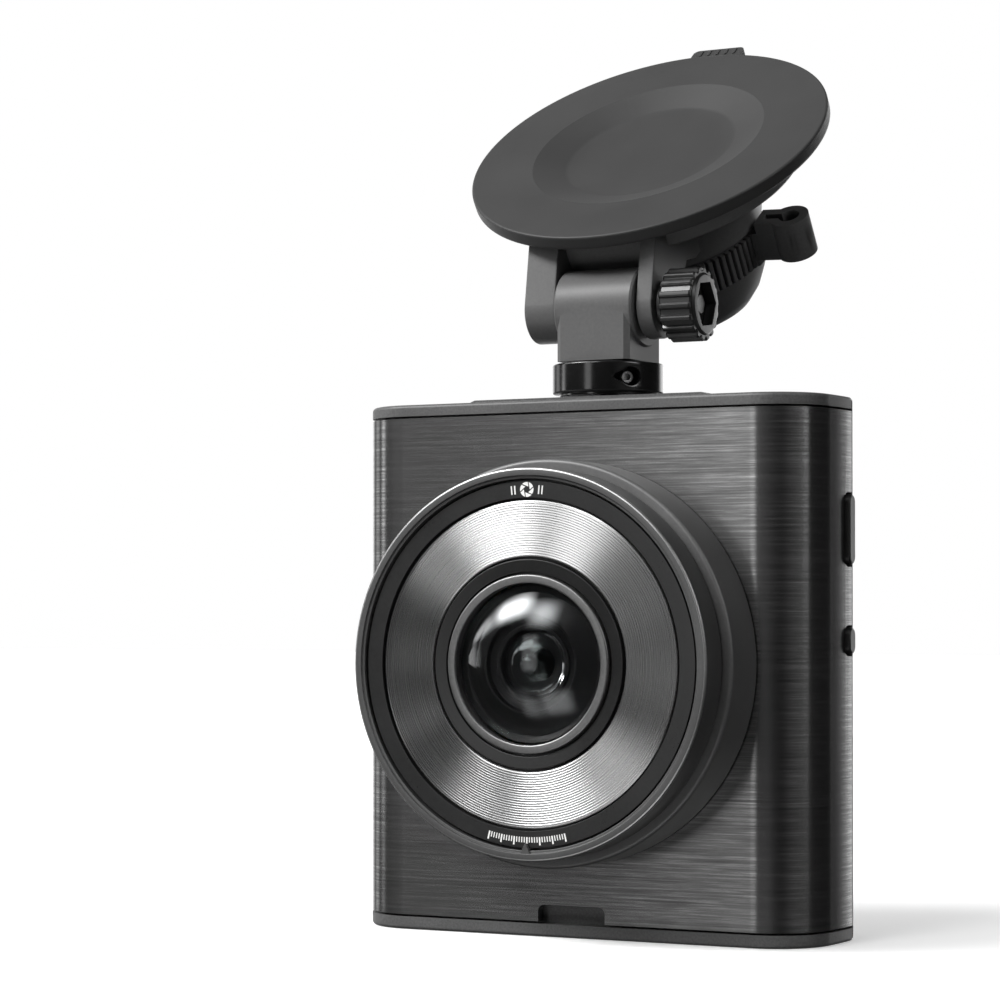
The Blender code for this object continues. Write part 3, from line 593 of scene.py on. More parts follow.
def brushed_wrap():
    """Dark wrap brushed along the body's width, round its front corners and along its sides."""
    look = Look("brushed_wrap", Metallic=0.9, Anisotropic=0.75, Anisotropic_Rotation=0.25)
    fine = look.noise(look.place((0.03, 0.03, 5.2)), detail=5.0, roughness=0.7)
    broken = look.noise(look.place((0.17, 0.17, 3.1), (4.0, 1.0, 7.0)), detail=4.0, roughness=0.6)
    tone = look.blend(fine, broken, 0.6)
    tangent = look.add("ShaderNodeTangent", direction_type='RADIAL', axis='Z').outputs[0]
    return look.wire(Base_Color=look.ramp(tone, [(0.34, grey(0.1)), (0.5, grey(0.19)),
                                                 (0.66, grey(0.36))]),
                     Roughness=look.spread(tone, 0.35, 0.65, 0.27, 0.2),
                     Normal=look.bump(tone, 0.006), Tangent=tangent)


def spun_metal():
    """Bright metal cut in rings, so that light fans out from the lens axis."""
    look = Look("spun_metal", Metallic=1.0, Anisotropic=0.97, Anisotropic_Rotation=0.25)
    parts = look.parts(look.place(shift=(0.0, 0.0, -LENS_Z)))
    radius = look.math('SQRT', look.math('ADD', look.math('POWER', parts[0], 2.0),
                                         look.math('POWER', parts[2], 2.0)))
    cuts = look.noise(look.vector(look.math('MULTIPLY', radius, 9.0)), detail=3.0, roughness=0.7)
    tangent = look.add("ShaderNodeTangent", direction_type='RADIAL', axis='Y').outputs[0]
    return look.wire(Base_Color=look.greys(cuts, 0.28, 0.54),
                     Roughness=look.spread(cuts, 0.3, 0.7, 0.24, 0.32), Tangent=tangent)


def coated_glass(name, tint):
    """Clear lens glass whose coating tints and thins its gloss, with a trace of dust."""
    look = Look(name, Transmission_Weight=1.0, IOR=1.5, Specular_Tint=(*tint, 1.0))
    dust = look.grain(0.8, 5.0)
    return look.wire(Base_Color=look.ramp(dust, [(0.3, (0.93, 0.95, 0.97)), (0.7, grey(1.0))]),
                     Roughness=look.spread(dust, 0.5, 0.8, 0.0, 0.004))


def printed_mark(name, colour, glow):
    # The emission makes a mark glow. On the display that is the screen's own light, but on the lens
    # ring's marks and the housing's signs it is a painted glow.
    look = Look(name, Roughness=0.55, Emission_Strength=glow)
    dark = tuple(0.86 * part for part in colour)
    shade = look.ramp(look.grain(6.0, 3.0), [(0.3, dark), (0.7, colour)])
    return look.wire(Base_Color=shade, Emission_Color=shade)


def circuit_board():
    look = Look("circuit_board", Roughness=0.4)
    cells = look.add("ShaderNodeTexVoronoi", {"Vector": look.place((0.9, 0.9, 0.9)), "Scale": 1.0},
                     distance='MANHATTAN', feature='F1').outputs["Distance"]
    return look.wire(Base_Color=look.ramp(cells, [(0.3, (0.012, 0.09, 0.045)),
                                                  (0.6, (0.02, 0.14, 0.07)),
                                                  (0.85, (0.3, 0.26, 0.1))]),
                     Normal=look.bump(cells, 0.03))


def picture_sky(look, flat, up, rough):
    """Sky with cloud over a strip of sea."""
    sky = look.ramp(up, [(0.5, (0.82, 0.86, 0.9)), (0.95, (0.2, 0.42, 0.72))])
    wide = look.add("ShaderNodeVectorMath", {0: flat, 1: (3.0, 9.0, 1.0)}, operation='MULTIPLY')
    puffs = look.noise(wide.outputs[0], detail=6.0)
    sky = look.mix(look.spread(puffs, 0.5, 0.68), sky, grey(0.95))
    sea = look.mix(look.spread(rough, 0.3, 0.7), (0.08, 0.22, 0.36), (0.16, 0.33, 0.46))
    return look.mix(look.spread(up, 0.522, 0.528), sea, sky)


def picture_hills(look, scene, across, up, rough):
    ridge = look.noise(look.vector(look.math('MULTIPLY', across, 4.0)), detail=6.0)
    hills = look.ramp(rough, [(0.3, (0.05, 0.035, 0.015)), (0.5, (0.3, 0.2, 0.06)),
                              (0.72, (0.75, 0.55, 0.2))])
    valley = look.math('ABSOLUTE', look.math('SUBTRACT', across, 0.38))
    crest = look.math('ADD', look.math('MULTIPLY', ridge, 0.42),
                      look.math('MULTIPLY', valley, 0.22))
    land = look.math('SUBTRACT', look.math('ADD', crest, 0.23), up)
    return look.mix(look.spread(land, 0.0, 0.012), scene, hills)


def picture_road(look, scene, across, up, rough):
    bend = look.math('ADD', 0.42, look.math('MULTIPLY', look.math('POWER', up, 2.0), 1.1))
    reach = look.math('SUBTRACT', 0.52, look.math('MULTIPLY', up, 1.15))
    side = look.math('ABSOLUTE', look.math('SUBTRACT', across, bend))
    edge = look.math('SUBTRACT', reach, side)
    road = look.mix(look.spread(rough, 0.3, 0.7), (0.13, 0.11, 0.12), (0.3, 0.25, 0.26))
    scene = look.mix(look.spread(edge, 0.0, 0.01), scene, road)
    verge = look.spread(look.math('ABSOLUTE', edge), 0.012, 0.006)
    below = look.math('LESS_THAN', up, 0.44)
    return look.mix(look.math('MULTIPLY', verge, below), scene, (0.8, 0.78, 0.74))


def screen_picture():
    """A lit display with a made-up coast road between two black bars."""
    look = Look("screen_picture", Roughness=0.12, Emission_Strength=0.85, Coat_Weight=0.6,
                Coat_Roughness=0.05)
    half_width, half_height = SCREEN_HALF
    spot = look.place((-1.0 / (2 * half_width), 1.0, 1.0 / (2 * half_height)),
                      (0.5, 0.0, 0.5 - SCREEN_CENTRE_Z / (2 * half_height)))
    across, _, up = look.parts(spot)
    flat = look.vector(across, up)
    rough = look.noise(flat, scale=26.0, detail=8.0, roughness=0.7)
    scene = picture_sky(look, flat, up, rough)
    scene = picture_hills(look, scene, across, up, rough)
    scene = picture_road(look, scene, across, up, rough)
    bars = look.math('ADD', look.math('GREATER_THAN', up, 0.935),
                     look.math('LESS_THAN', up, 0.062))
    scene = look.mix(bars, scene, (0.004, 0.004, 0.005))
    pixels = look.noise(flat, scale=220.0, detail=1.0)
    scene = look.mix(look.spread(pixels, 0.35, 0.65, 0.0, 0.06), scene, grey(0.0))
    return look.wire(Emission_Color=scene, Base_Color=look.mix(0.9, scene, (0.01, 0.01, 0.012)))


LOOKS = {
    "wrap": brushed_wrap(),
    "cap": matte_plastic("cap_paint", 0.065, 0.14, 0.46, 0.3, 0.01),
    "housing": matte_plastic("housing_plastic", 0.048, 0.066, 0.52, 0.25, 0.008),
    "panel": matte_plastic("panel_plastic", 0.024, 0.032, 0.42, 0.3, 0.004),
    "screen": screen_picture(),
    "key": matte_plastic("key_plastic", 0.012, 0.022, 0.42, 0.2, 0.004),
    "barrel": satin_ring("barrel_plastic", 0.13, 0.17, 0.46, 0.4, 0.6),
    "barrel_front": satin_ring("barrel_front_plastic", 0.085, 0.115, 0.42, 0.4, 0.45),
    "barrel_edge": satin_ring("barrel_edge_metal", 0.34, 0.44, 0.34, 0.85),
    "marking": satin_ring("marking_plastic", 0.012, 0.02, 0.3),
    # The white print glows: on the screen icons that is the display's own light, on the ring marks
    # and side signs it is a painted glow.
    "print": printed_mark("glowing_white_print", (0.86, 0.86, 0.84), 0.25),
    "teal": printed_mark("teal_mark", (0.05, 0.6, 0.58), 0.8),
    "red": printed_mark("red_mark", (0.6, 0.03, 0.02), 0.8),
    "spun": spun_metal(),
    "inner": satin_ring("inner_ring_plastic", 0.008, 0.014, 0.34),
    "retainer": satin_ring("retainer_metal", 0.18, 0.25, 0.38, 0.85),
    "cell": satin_ring("cell_black", 0.004, 0.008, 0.5, 0.0, 0.25),
    "glass": coated_glass("front_glass", (0.97, 0.98, 1.0)),
    "glass_inner": coated_glass("inner_glass", (0.46, 0.52, 0.5)),
    "glass_back": coated_glass("back_glass", (0.03, 0.05, 0.045)),
    "collar": satin_ring("collar_plastic", 0.007, 0.011, 0.16, 0.0, 0.7),
    "mount": matte_plastic("mount_plastic", 0.11, 0.135, 0.42, 0.4, 0.003, 0.36),
    "lock": matte_plastic("lock_plastic", 0.105, 0.13, 0.6, 0.4, 0.003, 0.12),
    "knob": matte_plastic("knob_plastic", 0.014, 0.02, 0.33, 0.8, 0.0004, 0.6),
    "rubber": suction_rubber(),
    "steel": turned_steel("turned_steel", 0.42, 0.66, 0.3),
    "steel_dark": turned_steel("blackened_steel", 0.12, 0.22, 0.34),
    "board": circuit_board(),
    "battery": battery_wrap(),
}


# ---------------------------------------------------------------- camera body

def socket_outline(span_y, span_z, margin):
    """A socket's slot with round ends, grown by the margin."""
    radius = (span_y[1] - span_y[0]) / 2 + margin - 0.05
    return rounded(span_y[0] - margin, span_y[1] + margin, span_z[0] - margin,
                   span_z[1] + margin, radius)


def make_front_cover():
    outline = body_section(0.0) + list(reversed(body_section(WALL)))
    before = FRONT_Y - 1.0
    behind = FRONT_Y + WALL + 1.0
    notch = rounded(-NOTCH_HALF, NOTCH_HALF, COVER_LOW.z - 2.0, NOTCH_TOP, 0.9)
    cuts = [cylinder((0.0, LENS_Z), SPIGOT + GAP, before, behind, "XZ", 96),
            prism(notch, before, behind, "XZ")]
    for low, high in (POWER_Z, RESET_Z):
        hole = rounded(BUTTON_LOW_Y - GAP, PARTING_Y + 2.0, low - GAP, high + GAP, 1.3)
        cuts.append(prism(hole, BODY_HALF - WALL - 1.0, BODY_HALF + 1.0, "YZ"))
    for span_y, span_z in ((USB_Y, USB_Z), (CARD_Y, CARD_Z)):
        hole = socket_outline(span_y, span_z, GAP)
        cuts.append(prism(hole, -BODY_HALF - 1.0, -BODY_HALF + WALL + 1.0, "YZ"))
    cover = Piece("cover_shell", prism(outline, COVER_LOW.z, COVER_HIGH.z))
    cover.cut(gathered(cuts))
    cover.soften(0.16)
    cover.finish("camera", "brushed_cover", "wrap", "front_cover")


def ramp_outline(face, sink):
    """The low platform under the mount, with its sloping ends, sunk into the face."""
    half = PLATFORM_HALF
    top = face + PLATFORM_HEIGHT
    return [(-half, face - sink), (half, face - sink), (half, face), (half - PLATFORM_RAMP, top),
            (-half + PLATFORM_RAMP, top), (-half, face)]


def seam_tab(low, high):
    """Fills the middle of a cap's seam with the housing, so that no light shows through it."""
    outline = rectangle(-SEAM_TAB_HALF, SEAM_TAB_HALF, PARTING_Y - 1.0, PARTING_Y + GAP - 0.02)
    return prism(outline, low, high)


def make_top_cap():
    face = BODY_HEIGHT
    lip = body_section(WALL + GAP, PARTING_Y - GAP)
    sections = [(lip, TOP_SEAM - LIP_HEIGHT), (lip, TOP_SEAM), (body_section(0.0), TOP_SEAM)]
    for inset, rise in quarter_round(CAP_ROUND, 4):
        sections.append((body_section(inset), face - CAP_ROUND + rise))
    cap = Piece("top_cap_shell", layered(sections))
    cap.join(prism(ramp_outline(face, 0.5), -PLATFORM_DEPTH, PARTING_Y, "XZ"),
             seam_tab(TOP_SEAM + 0.1, face + PLATFORM_HEIGHT - 0.4))
    cap.cut(cylinder(ORIGIN, SWIVEL_SCREW_HOLE, TOP_SEAM - 3.0, face + 2.0))
    cap.soften(0.12, 2, 50.0)
    cap.finish("camera", "cap_grey", "cap", "top_cap")


def make_bottom_cap():
    lip = body_section(WALL + GAP, PARTING_Y - GAP)
    sections = [(body_section(inset), CAP_ROUND - rise)
                for inset, rise in reversed(quarter_round(CAP_ROUND, 4))]
    sections += [(body_section(0.0), BOTTOM_SEAM), (lip, BOTTOM_SEAM),
                 (lip, BOTTOM_SEAM + BOTTOM_LIP_HEIGHT)]
    cap = Piece("bottom_cap_shell", layered(sections))
    cap.join(seam_tab(0.4, BOTTOM_SEAM - 0.1))
    cap.soften(0.1, 2, 50.0)
    cap.finish("camera", "cap_grey", "cap", "bottom_cap")


def housing_loft(inset, front_y, back_y):
    """The housing's tapering block between two depths."""
    depth = BACK_Y - PARTING_Y - GAP
    sections = []
    for y in (front_y, back_y):
        share = (y - PARTING_Y - GAP) / depth
        half = BODY_HALF - inset - HOUSING_TAPER_SIDE * share
        low = inset + HOUSING_TAPER_END * share
        sections.append((rectangle(-half, half, low, BODY_HEIGHT - low), y))
    return layered(sections, "XZ")


def make_rear_housing():
    front = PARTING_Y + GAP
    panel_front = BACK_Y - PANEL_THICKNESS - GAP
    housing = Piece("rear_shell", housing_loft(0.0, front, BACK_Y))
    housing.join(prism(ramp_outline(BODY_HEIGHT, 1.2), front, PLATFORM_DEPTH, "XZ"))
    housing.soften(0.45, 4)
    side = BODY_HALF - HOUSING_TAPER_SIDE - PANEL_RIM
    low = HOUSING_TAPER_END + PANEL_RIM
    recess = rounded(-side, side, low, BODY_HEIGHT - low, 0.6)
    window = rectangle(-SCREEN_HALF[0] - GAP, SCREEN_HALF[0] + GAP, WINDOW_LOW,
                       SCREEN_CENTRE_Z + SCREEN_HALF[1] + 0.8)
    housing.cut(housing_loft(WALL, front - 1.0, panel_front - INNER_WALL),
                prism(recess, panel_front, BACK_Y + 1.0, "XZ"),
                prism(window, front, BACK_Y, "XZ"))
    housing.finish("camera", "housing_grey", "housing", "rear_housing")


def make_back_panel():
    outline = rounded(PANEL_LOW.x, PANEL_HIGH.x, PANEL_LOW.z, PANEL_HIGH.z, 0.5)
    width, height = SCREEN_HALF
    opening = rectangle(-width, width, SCREEN_CENTRE_Z - height, SCREEN_CENTRE_Z + height)
    slot = pad((0.0, KEY_CENTRE_Z), KEY_SLOT_HALF, 2.2)
    panel = Piece("rear_panel", prism(outline, PANEL_LOW.y, BACK_Y, "XZ"))
    panel.cut(gathered([prism(hole, BACK_Y - 3.0, BACK_Y + 1.0, "XZ")
                        for hole in (opening, slot)]))
    panel.soften(0.12)
    panel.finish("camera", "panel_dark", "panel", "back_panel")


def make_screen():
    width, height = (half - GAP for half in SCREEN_HALF)
    back = BACK_Y - PANEL_THICKNESS - INNER_WALL - 2 * GAP
    centre = (0.0, SCREEN_CENTRE_Z)
    base = pad(centre, (width + SCREEN_MARGIN, height + SCREEN_MARGIN), 0.4)
    face = pad(centre, (width, height), 0.2)
    solid = layered([(base, back - 1.9), (base, back), (face, back), (face, SCREEN_Y)], "XZ")
    Piece("display", solid).soften(0.06, 2).finish("camera", "screen", "screen", "lcd_module")


def screen_marks(name, outlines, look, lift=0.0, thickness=0.02):
    """Thin printed shapes standing a hair's breadth off the display."""
    depth = SCREEN_Y + lift
    solids = [prism(outline, depth, depth + thickness, "XZ") for outline in outlines]
    Piece(name, gathered(solids)).finish("camera", "screen", look)


def gear_outline(centre, outer, inner, teeth):
    points = []
    pitch = 360.0 / teeth
    for tooth in range(teeth):
        start = pitch * tooth
        points += arc(centre, outer, start, start + 0.45 * pitch, 2)
        points += arc(centre, inner, start + 0.55 * pitch, start + 0.95 * pitch, 2)
    return points


def open_ring(outer, inner, start_deg, sweep_deg, steps=32):
    """Part of a ring as one outline."""
    end = start_deg + sweep_deg - 0.4
    return arc(ORIGIN, outer, start_deg, end, steps) + arc(ORIGIN, inner, end, start_deg, steps)


def make_screen_icons():
    """Generic icons in the display's lower bar, over the four menu keys."""
    row = SCREEN_CENTRE_Z - SCREEN_HALF[1] + 1.35
    gear_x, camera_x, stalk_x, dot_x = (share * KEY_PITCH for share in (1.5, 0.5, -0.5, -1.5))
    screen_marks("display_icons", [
        gear_outline((gear_x, row), 0.72, 0.5, 8),
        rounded(camera_x - 0.75, camera_x + 0.75, row - 0.5, row + 0.45, 0.15, 3),
        rectangle(camera_x - 0.3, camera_x + 0.3, row + 0.45, row + 0.65)], "print")
    top_row = SCREEN_CENTRE_Z + SCREEN_HALF[1] - 1.3
    corner = SCREEN_HALF[0] - 1.2
    screen_marks("display_red_icons", [
        rounded(stalk_x - 0.22, stalk_x + 0.22, row - 0.25, row + 0.7, 0.2, 4),
        rectangle(stalk_x - 0.05, stalk_x + 0.05, row - 0.7, row - 0.25),
        rectangle(stalk_x - 0.3, stalk_x + 0.3, row - 0.75, row - 0.65),
        rectangle(corner - 2.6, corner - 0.4, top_row - 0.3, top_row + 0.3)], "red")
    screen_marks("display_teal_dot", [circle((dot_x, row), 0.62, 32)], "teal")
    screen_marks("display_icon_centres", [circle((camera_x, row), 0.3, 20),
                                          circle((gear_x, row), 0.26, 20)], "key", 0.02, 0.01)


def key_outline(index, half_height, margin, radius):
    """One key of the row of four; only the row's two ends are round."""
    left = -KEY_SLOT_HALF[0] + margin if index == 0 else (index - 2) * KEY_PITCH + margin / 2
    right = KEY_SLOT_HALF[0] - margin if index == 3 else (index - 1) * KEY_PITCH - margin / 2
    left_radius = radius if index == 0 else KEY_CORNER
    right_radius = radius if index == 3 else KEY_CORNER
    return rounded(left, right, KEY_CENTRE_Z - half_height, KEY_CENTRE_Z + half_height,
                   right_radius, 10, left_radius)


def make_menu_keys():
    slot_half = KEY_SLOT_HALF[1] - GAP
    for index in range(4):
        flange = key_outline(index, slot_half + 0.7, GAP, 0.4)
        body = key_outline(index, slot_half, GAP, 1.9)
        raised = key_outline(index, KEY_RAISED_HALF, 2 * GAP, 1.25)
        crown = key_outline(index, KEY_RAISED_HALF - 0.2, 2 * GAP + 0.3, 1.05)
        solid = layered([(flange, BACK_Y - 2.2), (flange, BACK_Y - 1.6), (body, BACK_Y - 1.6),
                         (body, BACK_Y - 0.7), (raised, BACK_Y - 0.7), (raised, BACK_Y - 0.22),
                         (crown, BACK_Y - 0.1)], "XZ")
        name = f"menu_key_{index + 1}"
        Piece(f"{name}_cap", solid).soften(0.05, 2).finish(name, "button_black", "key",
                                                           f"menu_button_{index + 1}")


def make_side_buttons():
    low_y = BUTTON_LOW_Y
    high_y = BUTTON_HIGH_Y
    for node, body, (low, high) in (("power_button", "power_key", POWER_Z),
                                    ("reset_button", "reset_key", RESET_Z)):
        flange = rounded(low_y - 0.8, high_y, low - 0.8, high + 0.8, 0.3)
        sections = [(flange, BODY_HALF - WALL - 1.5), (flange, BODY_HALF - WALL - GAP),
                    (rounded(low_y, high_y, low, high, 1.0), BODY_HALF - WALL - GAP)]
        for inset, rise in quarter_round(BUTTON_ROUND, 5):
            outline = rounded(low_y + inset, high_y - inset, low + inset, high - inset,
                              1.0 - inset)
            sections.append((outline, BODY_HALF + BUTTON_PROUD - BUTTON_ROUND + rise))
        Piece(f"{body}_cap", layered(sections, "YZ")).finish(body, "button_black", "key", node)


def make_side_marks():
    """Generic signs on the housing's slanted side: an on-off sign and a turn-back arrow."""
    depth = BACK_Y - PARTING_Y - GAP
    lean = Matrix.Rotation(math.atan2(HOUSING_TAPER_SIDE, depth), 4, 'Z')
    centre_y = (PARTING_Y + GAP + BACK_Y) / 2 + 0.4
    side = BODY_HALF - HOUSING_TAPER_SIDE * (centre_y - PARTING_Y - GAP) / depth
    power = [open_ring(0.95, 0.72, 125.0, 290.0), rectangle(-0.1, 0.1, 0.25, 1.1)]
    restart = [open_ring(0.95, 0.75, 205.0, 290.0), [(-1.25, -0.1), (-0.45, -0.1), (-0.85, 0.55)]]
    for name, height, shapes in (("power_sign", 52.9, power), ("restart_sign", 38.6, restart)):
        solids = [prism(shape, -0.02, 0.02, "YZ") for shape in shapes]
        sign = Piece(name, gathered(solids), Matrix.Translation((side, centre_y, height)) @ lean)
        # These signs glow with the print look's emission, a painted glow.
        sign.finish("camera", "housing_grey", "print")


def make_sockets():
    side = -BODY_HALF
    for name, node, span_y, span_z, depth, wall in (
            ("usb_shell", "usb_socket", USB_Y, USB_Z, 7.0, 0.35),
            ("card_shell", "microsd_socket", CARD_Y, CARD_Z, 14.0, 0.3)):
        outer = socket_outline(span_y, span_z, 0.0)
        inner = socket_outline(span_y, span_z, -wall)
        shell = Piece(name, prism(outer, side + 0.5, side + 0.5 + depth, "YZ"))
        shell.cut(prism(inner, side - 1.0, side + depth - 0.5, "YZ"))
        shell.soften(0.08, 2)
        shell.finish("camera", "steel", "steel", node)
    middle = (USB_Y[0] + USB_Y[1]) / 2
    tongue = rounded(middle - 0.35, middle + 0.35, USB_Z[0] + 1.4, USB_Z[1] - 1.4, 0.2)
    Piece("usb_tongue", prism(tongue, side + 1.4, side + 7.3, "YZ")).finish(
        "camera", "button_black", "key")


# ---------------------------------------------------------------- lens

def lens_ring(name, profile, slot, look, *nodes, steps=192):
    return Piece(name, turned(profile, steps), AT_LENS).finish("camera", slot, look, *nodes)


def dome(edge_radius, edge_height, top_height, steps):
    """A lens face from its edge to the axis."""
    rise = top_height - edge_height
    radius = (edge_radius ** 2 + rise ** 2) / (2 * rise)
    start = math.degrees(math.asin((radius - rise) / radius))
    points = arc((0.0, top_height - radius), radius, start, 90.0, steps)
    return [(max(x, 0.0), y) for x, y in points[:-1]] + [(0.0, top_height)]


def second_look(item, look, chosen):
    """Gives a second material to the faces for which chosen(face) is true."""
    item.data.materials.append(LOOKS[look])
    for face in item.data.polygons:
        if chosen(face):
            face.material_index = 1


def on_polished_edge(face):
    """Whether a face of the front ring is on its rounded outer edge."""
    spread = math.hypot(face.center.x, face.center.z - LENS_Z * MM)
    return spread > (FRONT_RADIUS - EDGE_WIDTH) * MM and -0.985 < face.normal.y < -0.12


def faces_sensor(face):
    return face.normal.y > 0.05


def make_barrel():
    base = [(SPIGOT - 1.6, -2.6), (SPIGOT, -2.6), (SPIGOT, GAP), (BASE_RADIUS, GAP, 0.12),
            (BASE_RADIUS, BASE_TOP, 0.55), (SLEEVE + GAP, BASE_TOP, 0.1), (SLEEVE + GAP, 2.0),
            (SPIGOT - 1.6, 2.0)]
    lens_ring("barrel_base", eased(base, 0.05, 5), "barrel_black", "barrel", "barrel_base_ring")
    top = FRONT_TOP
    outer = FRONT_RADIUS
    front = [(SLEEVE - 1.8, 2.3), (SLEEVE, 2.3), (SLEEVE, BASE_TOP + GAP),
             (outer, BASE_TOP + GAP, 0.15), (outer, top - 0.05, 0.35),
             (outer - 0.62, top, 0.12), (RIM_INNER + 0.42, top, 0.06),
             (RIM_INNER + 0.3, top - 0.3, 0.05), (RIM_INNER, top - 0.3, 0.08), (RIM_INNER, SEAT),
             (GLASS_RADIUS + 0.7, SEAT), (GLASS_RADIUS + 0.7, SEAT - 1.6),
             (SLEEVE - 1.8, SEAT - 1.6)]
    ring = lens_ring("barrel_front", eased(front, 0.05, 4), "barrel_black", "barrel_front",
                     "barrel_front_ring")
    second_look(ring, "barrel_edge", on_polished_edge)
    pointer = eased([(-0.75, -RIM_INNER - 0.45), (0.75, -RIM_INNER - 0.45), (0.0, -22.35)], 0.15)
    solid = layered([(pointer, 12.62), (pointer, top - 0.12),
                     (moved_outline(pointer, 0.0, -0.08), top - 0.05)])
    Piece("rim_pointer", solid, AT_LENS).finish("camera", "barrel_black", "barrel_front")
    marking = [(DISH_OUTER + 0.3, SEAT + GAP), (RIM_INNER - GAP, SEAT + GAP),
               (RIM_INNER - GAP, MARKING_TOP, 0.1), (DISH_OUTER + 0.3, MARKING_TOP, 0.1)]
    lens_ring("marking_band", eased(marking, 0.04), "barrel_black", "marking", "marking_ring")


def make_ring_marks():
    """White print on the marking band: an iris sign at the top, a plain scale at the bottom."""
    middle = (DISH_OUTER + 0.3 + RIM_INNER - GAP) / 2
    shapes = []
    for index in range(31):
        reach, width = (0.75, 0.1) if index % 5 == 0 else (0.38, 0.07)
        tick = rectangle(-width, width, -middle - reach, -middle + 0.3)
        shapes.append(turned_outline(tick, -14.0 + index * 28.0 / 30))
    for blade in range(6):
        start = 60.0 * blade
        inner = arc(ORIGIN, 0.42, start, start, 1)[0]
        outer = arc(ORIGIN, 0.95, start + 22.0, start + 74.0, 6)
        shapes.append(moved_outline([inner] + outer, 0.0, middle))
    bar = rectangle(-0.09, 0.09, middle - 0.55, middle + 0.55)
    shapes += [turned_outline(bar, turn) for turn in (-4.4, -5.6, 4.4, 5.6)]
    marks = [prism(shape, MARKING_TOP, MARKING_TOP + 0.02) for shape in shapes]
    # The marks glow with the print look's emission, a painted glow on the band.
    Piece("ring_marks", gathered(marks), AT_LENS).finish("camera", "barrel_black", "print")


def make_dish():
    """The spun ring: every cut is a real V groove, so light fans out from the lens axis."""
    pitch = (DISH_OUTER - DISH_INNER - 0.3) / GROOVE_COUNT
    depth = pitch * GROOVE_OUTER_SHARE * math.tan(math.radians(GROOVE_SLOPE_DEG))
    profile = [(DISH_INNER, SEAT + GAP), (DISH_OUTER, SEAT + GAP), (DISH_OUTER, DISH_TOP - 0.06),
               (DISH_OUTER - 0.12, DISH_TOP)]
    for index in range(GROOVE_COUNT):
        start = DISH_OUTER - 0.15 - pitch * index
        profile.append((start, DISH_TOP - depth))
        profile.append((start - pitch * GROOVE_OUTER_SHARE, DISH_TOP))
    profile += [(DISH_INNER + 0.08, DISH_TOP - depth), (DISH_INNER, DISH_TOP - 0.18)]
    lens_ring("spun_dish", profile, "spun_metal", "spun", "spun_dish_ring", steps=256)


def make_lens_rings():
    inner = [(RETAINER_OUTER + 0.3, SEAT + GAP), (DISH_INNER - 0.3, SEAT + GAP),
             (DISH_INNER - 0.3, 12.5, 0.12), (RETAINER_OUTER + 0.3, 12.3, 0.1)]
    lens_ring("inner_ring", eased(inner, 0.04, 4), "barrel_black", "inner", "lens_inner_ring")
    retainer = [(RETAINER_INNER, SEAT + GAP), (RETAINER_OUTER, SEAT + GAP),
                (RETAINER_OUTER, RETAINER_TOP, 0.3), (RETAINER_INNER, RETAINER_TOP, 0.25)]
    lens_ring("retaining_ring", eased(retainer, 0.04, 5), "retainer_grey", "retainer",
              "lens_retaining_ring")


def lens_glass(name, profile, look, node, steps):
    """A lens; its side that faces the sensor gets its own, deeper coating."""
    item = lens_ring(name, profile, "glass", look, node, steps=steps)
    second_look(item, "glass_back", faces_sensor)


def make_glasses():
    bottom = 10.4
    seat_radius = 8.9
    front = [(seat_radius, bottom), (GLASS_RADIUS, bottom)]
    front += dome(GLASS_RADIUS, GLASS_EDGE, GLASS_TOP, 40)
    front += list(reversed(dome(seat_radius, bottom, GLASS_TOP - 1.6, 36)))[:-1]
    lens_glass("front_glass", front, "glass", "front_lens", 128)
    cell = [(4.3, -6.2), (7.0, -6.2), (7.0, 3.0), (10.3, 3.0), (10.3, 10.1), (8.7, 10.1),
            (6.25, 11.1, 0.12), (6.0, 11.1, 0.12), (5.8, 10.55), (5.0, 10.3), (4.9, 10.55),
            (4.45, 10.5, 0.1), (4.3, 10.2)]
    lens_ring("lens_barrel", eased(cell, 0.03, 2), "barrel_black", "cell", "lens_cell", steps=128)
    edge = SECOND_RADIUS
    second = [(0.0, 8.9), (edge, 8.9)]
    second += [point for point in dome(edge, 10.2, 11.9, 32) if point[0] > 1.25]
    second += [(1.2, 11.72)] + dome(1.1, 11.76, 12.25, 14)
    lens_glass("second_glass", second, "glass_inner", "second_lens", 96)
    iris = [(1.3, 8.0), (2.0, 7.9), (edge, 7.9), (edge, 8.5), (1.6, 8.5)]
    lens_ring("iris_ring", iris, "barrel_black", "cell", "aperture_ring", steps=96)
    rear = [(0.0, 1.5), (edge, 1.5), (edge, 3.9)] + dome(3.4, 4.2, 5.1, 16)
    lens_glass("rear_glass", rear, "glass_inner", "rear_lens", 64)


# ---------------------------------------------------------------- swivel and hinge

def make_collar():
    profile = [(1.7, COLLAR_LOW), (6.5, COLLAR_LOW, 0.1), (6.5, COLLAR_LOW + 0.35, 0.1),
               (COLLAR_RADIUS, COLLAR_LOW + 0.35, 0.3), (COLLAR_RADIUS, COLLAR_HIGH, 0.28),
               (3.5, COLLAR_HIGH), (3.5, 73.0), (1.7, 73.0)]
    screw_x, screw_z = SET_SCREW_AT
    drop = arc(ORIGIN, 1.3, -50.0, 230.0, 20) + [(0.0, -2.6)]
    drop = [(1.1 * b + screw_x, screw_z + a) for a, b in drop]
    collar = Piece("swivel_ring", turned(eased(profile, 0.04, 5), 144))
    collar.cut(turn_about_z(prism(drop, -9.0, -4.4, "XZ"), SET_SCREW_TURN_DEG))
    collar.soften(0.07, 2, 50.0)
    collar.finish("swivel_base", "collar_black", "collar", "swivel_collar")
    grub = [(0.0, 3.5), (0.95, 3.5), (0.95, 5.75), (0.75, 5.95), (0.45, 5.95), (0.45, 5.2),
            (0.0, 5.2)]
    placing = (Matrix.Rotation(math.radians(SET_SCREW_TURN_DEG), 4, 'Z')
               @ Matrix.Translation((screw_x, 0.0, screw_z))
               @ Matrix.Rotation(math.radians(90.0), 4, 'X'))
    Piece("collar_grub", turned(grub, 32), placing).finish("swivel_base", "steel", "steel",
                                                           "collar_set_screw")


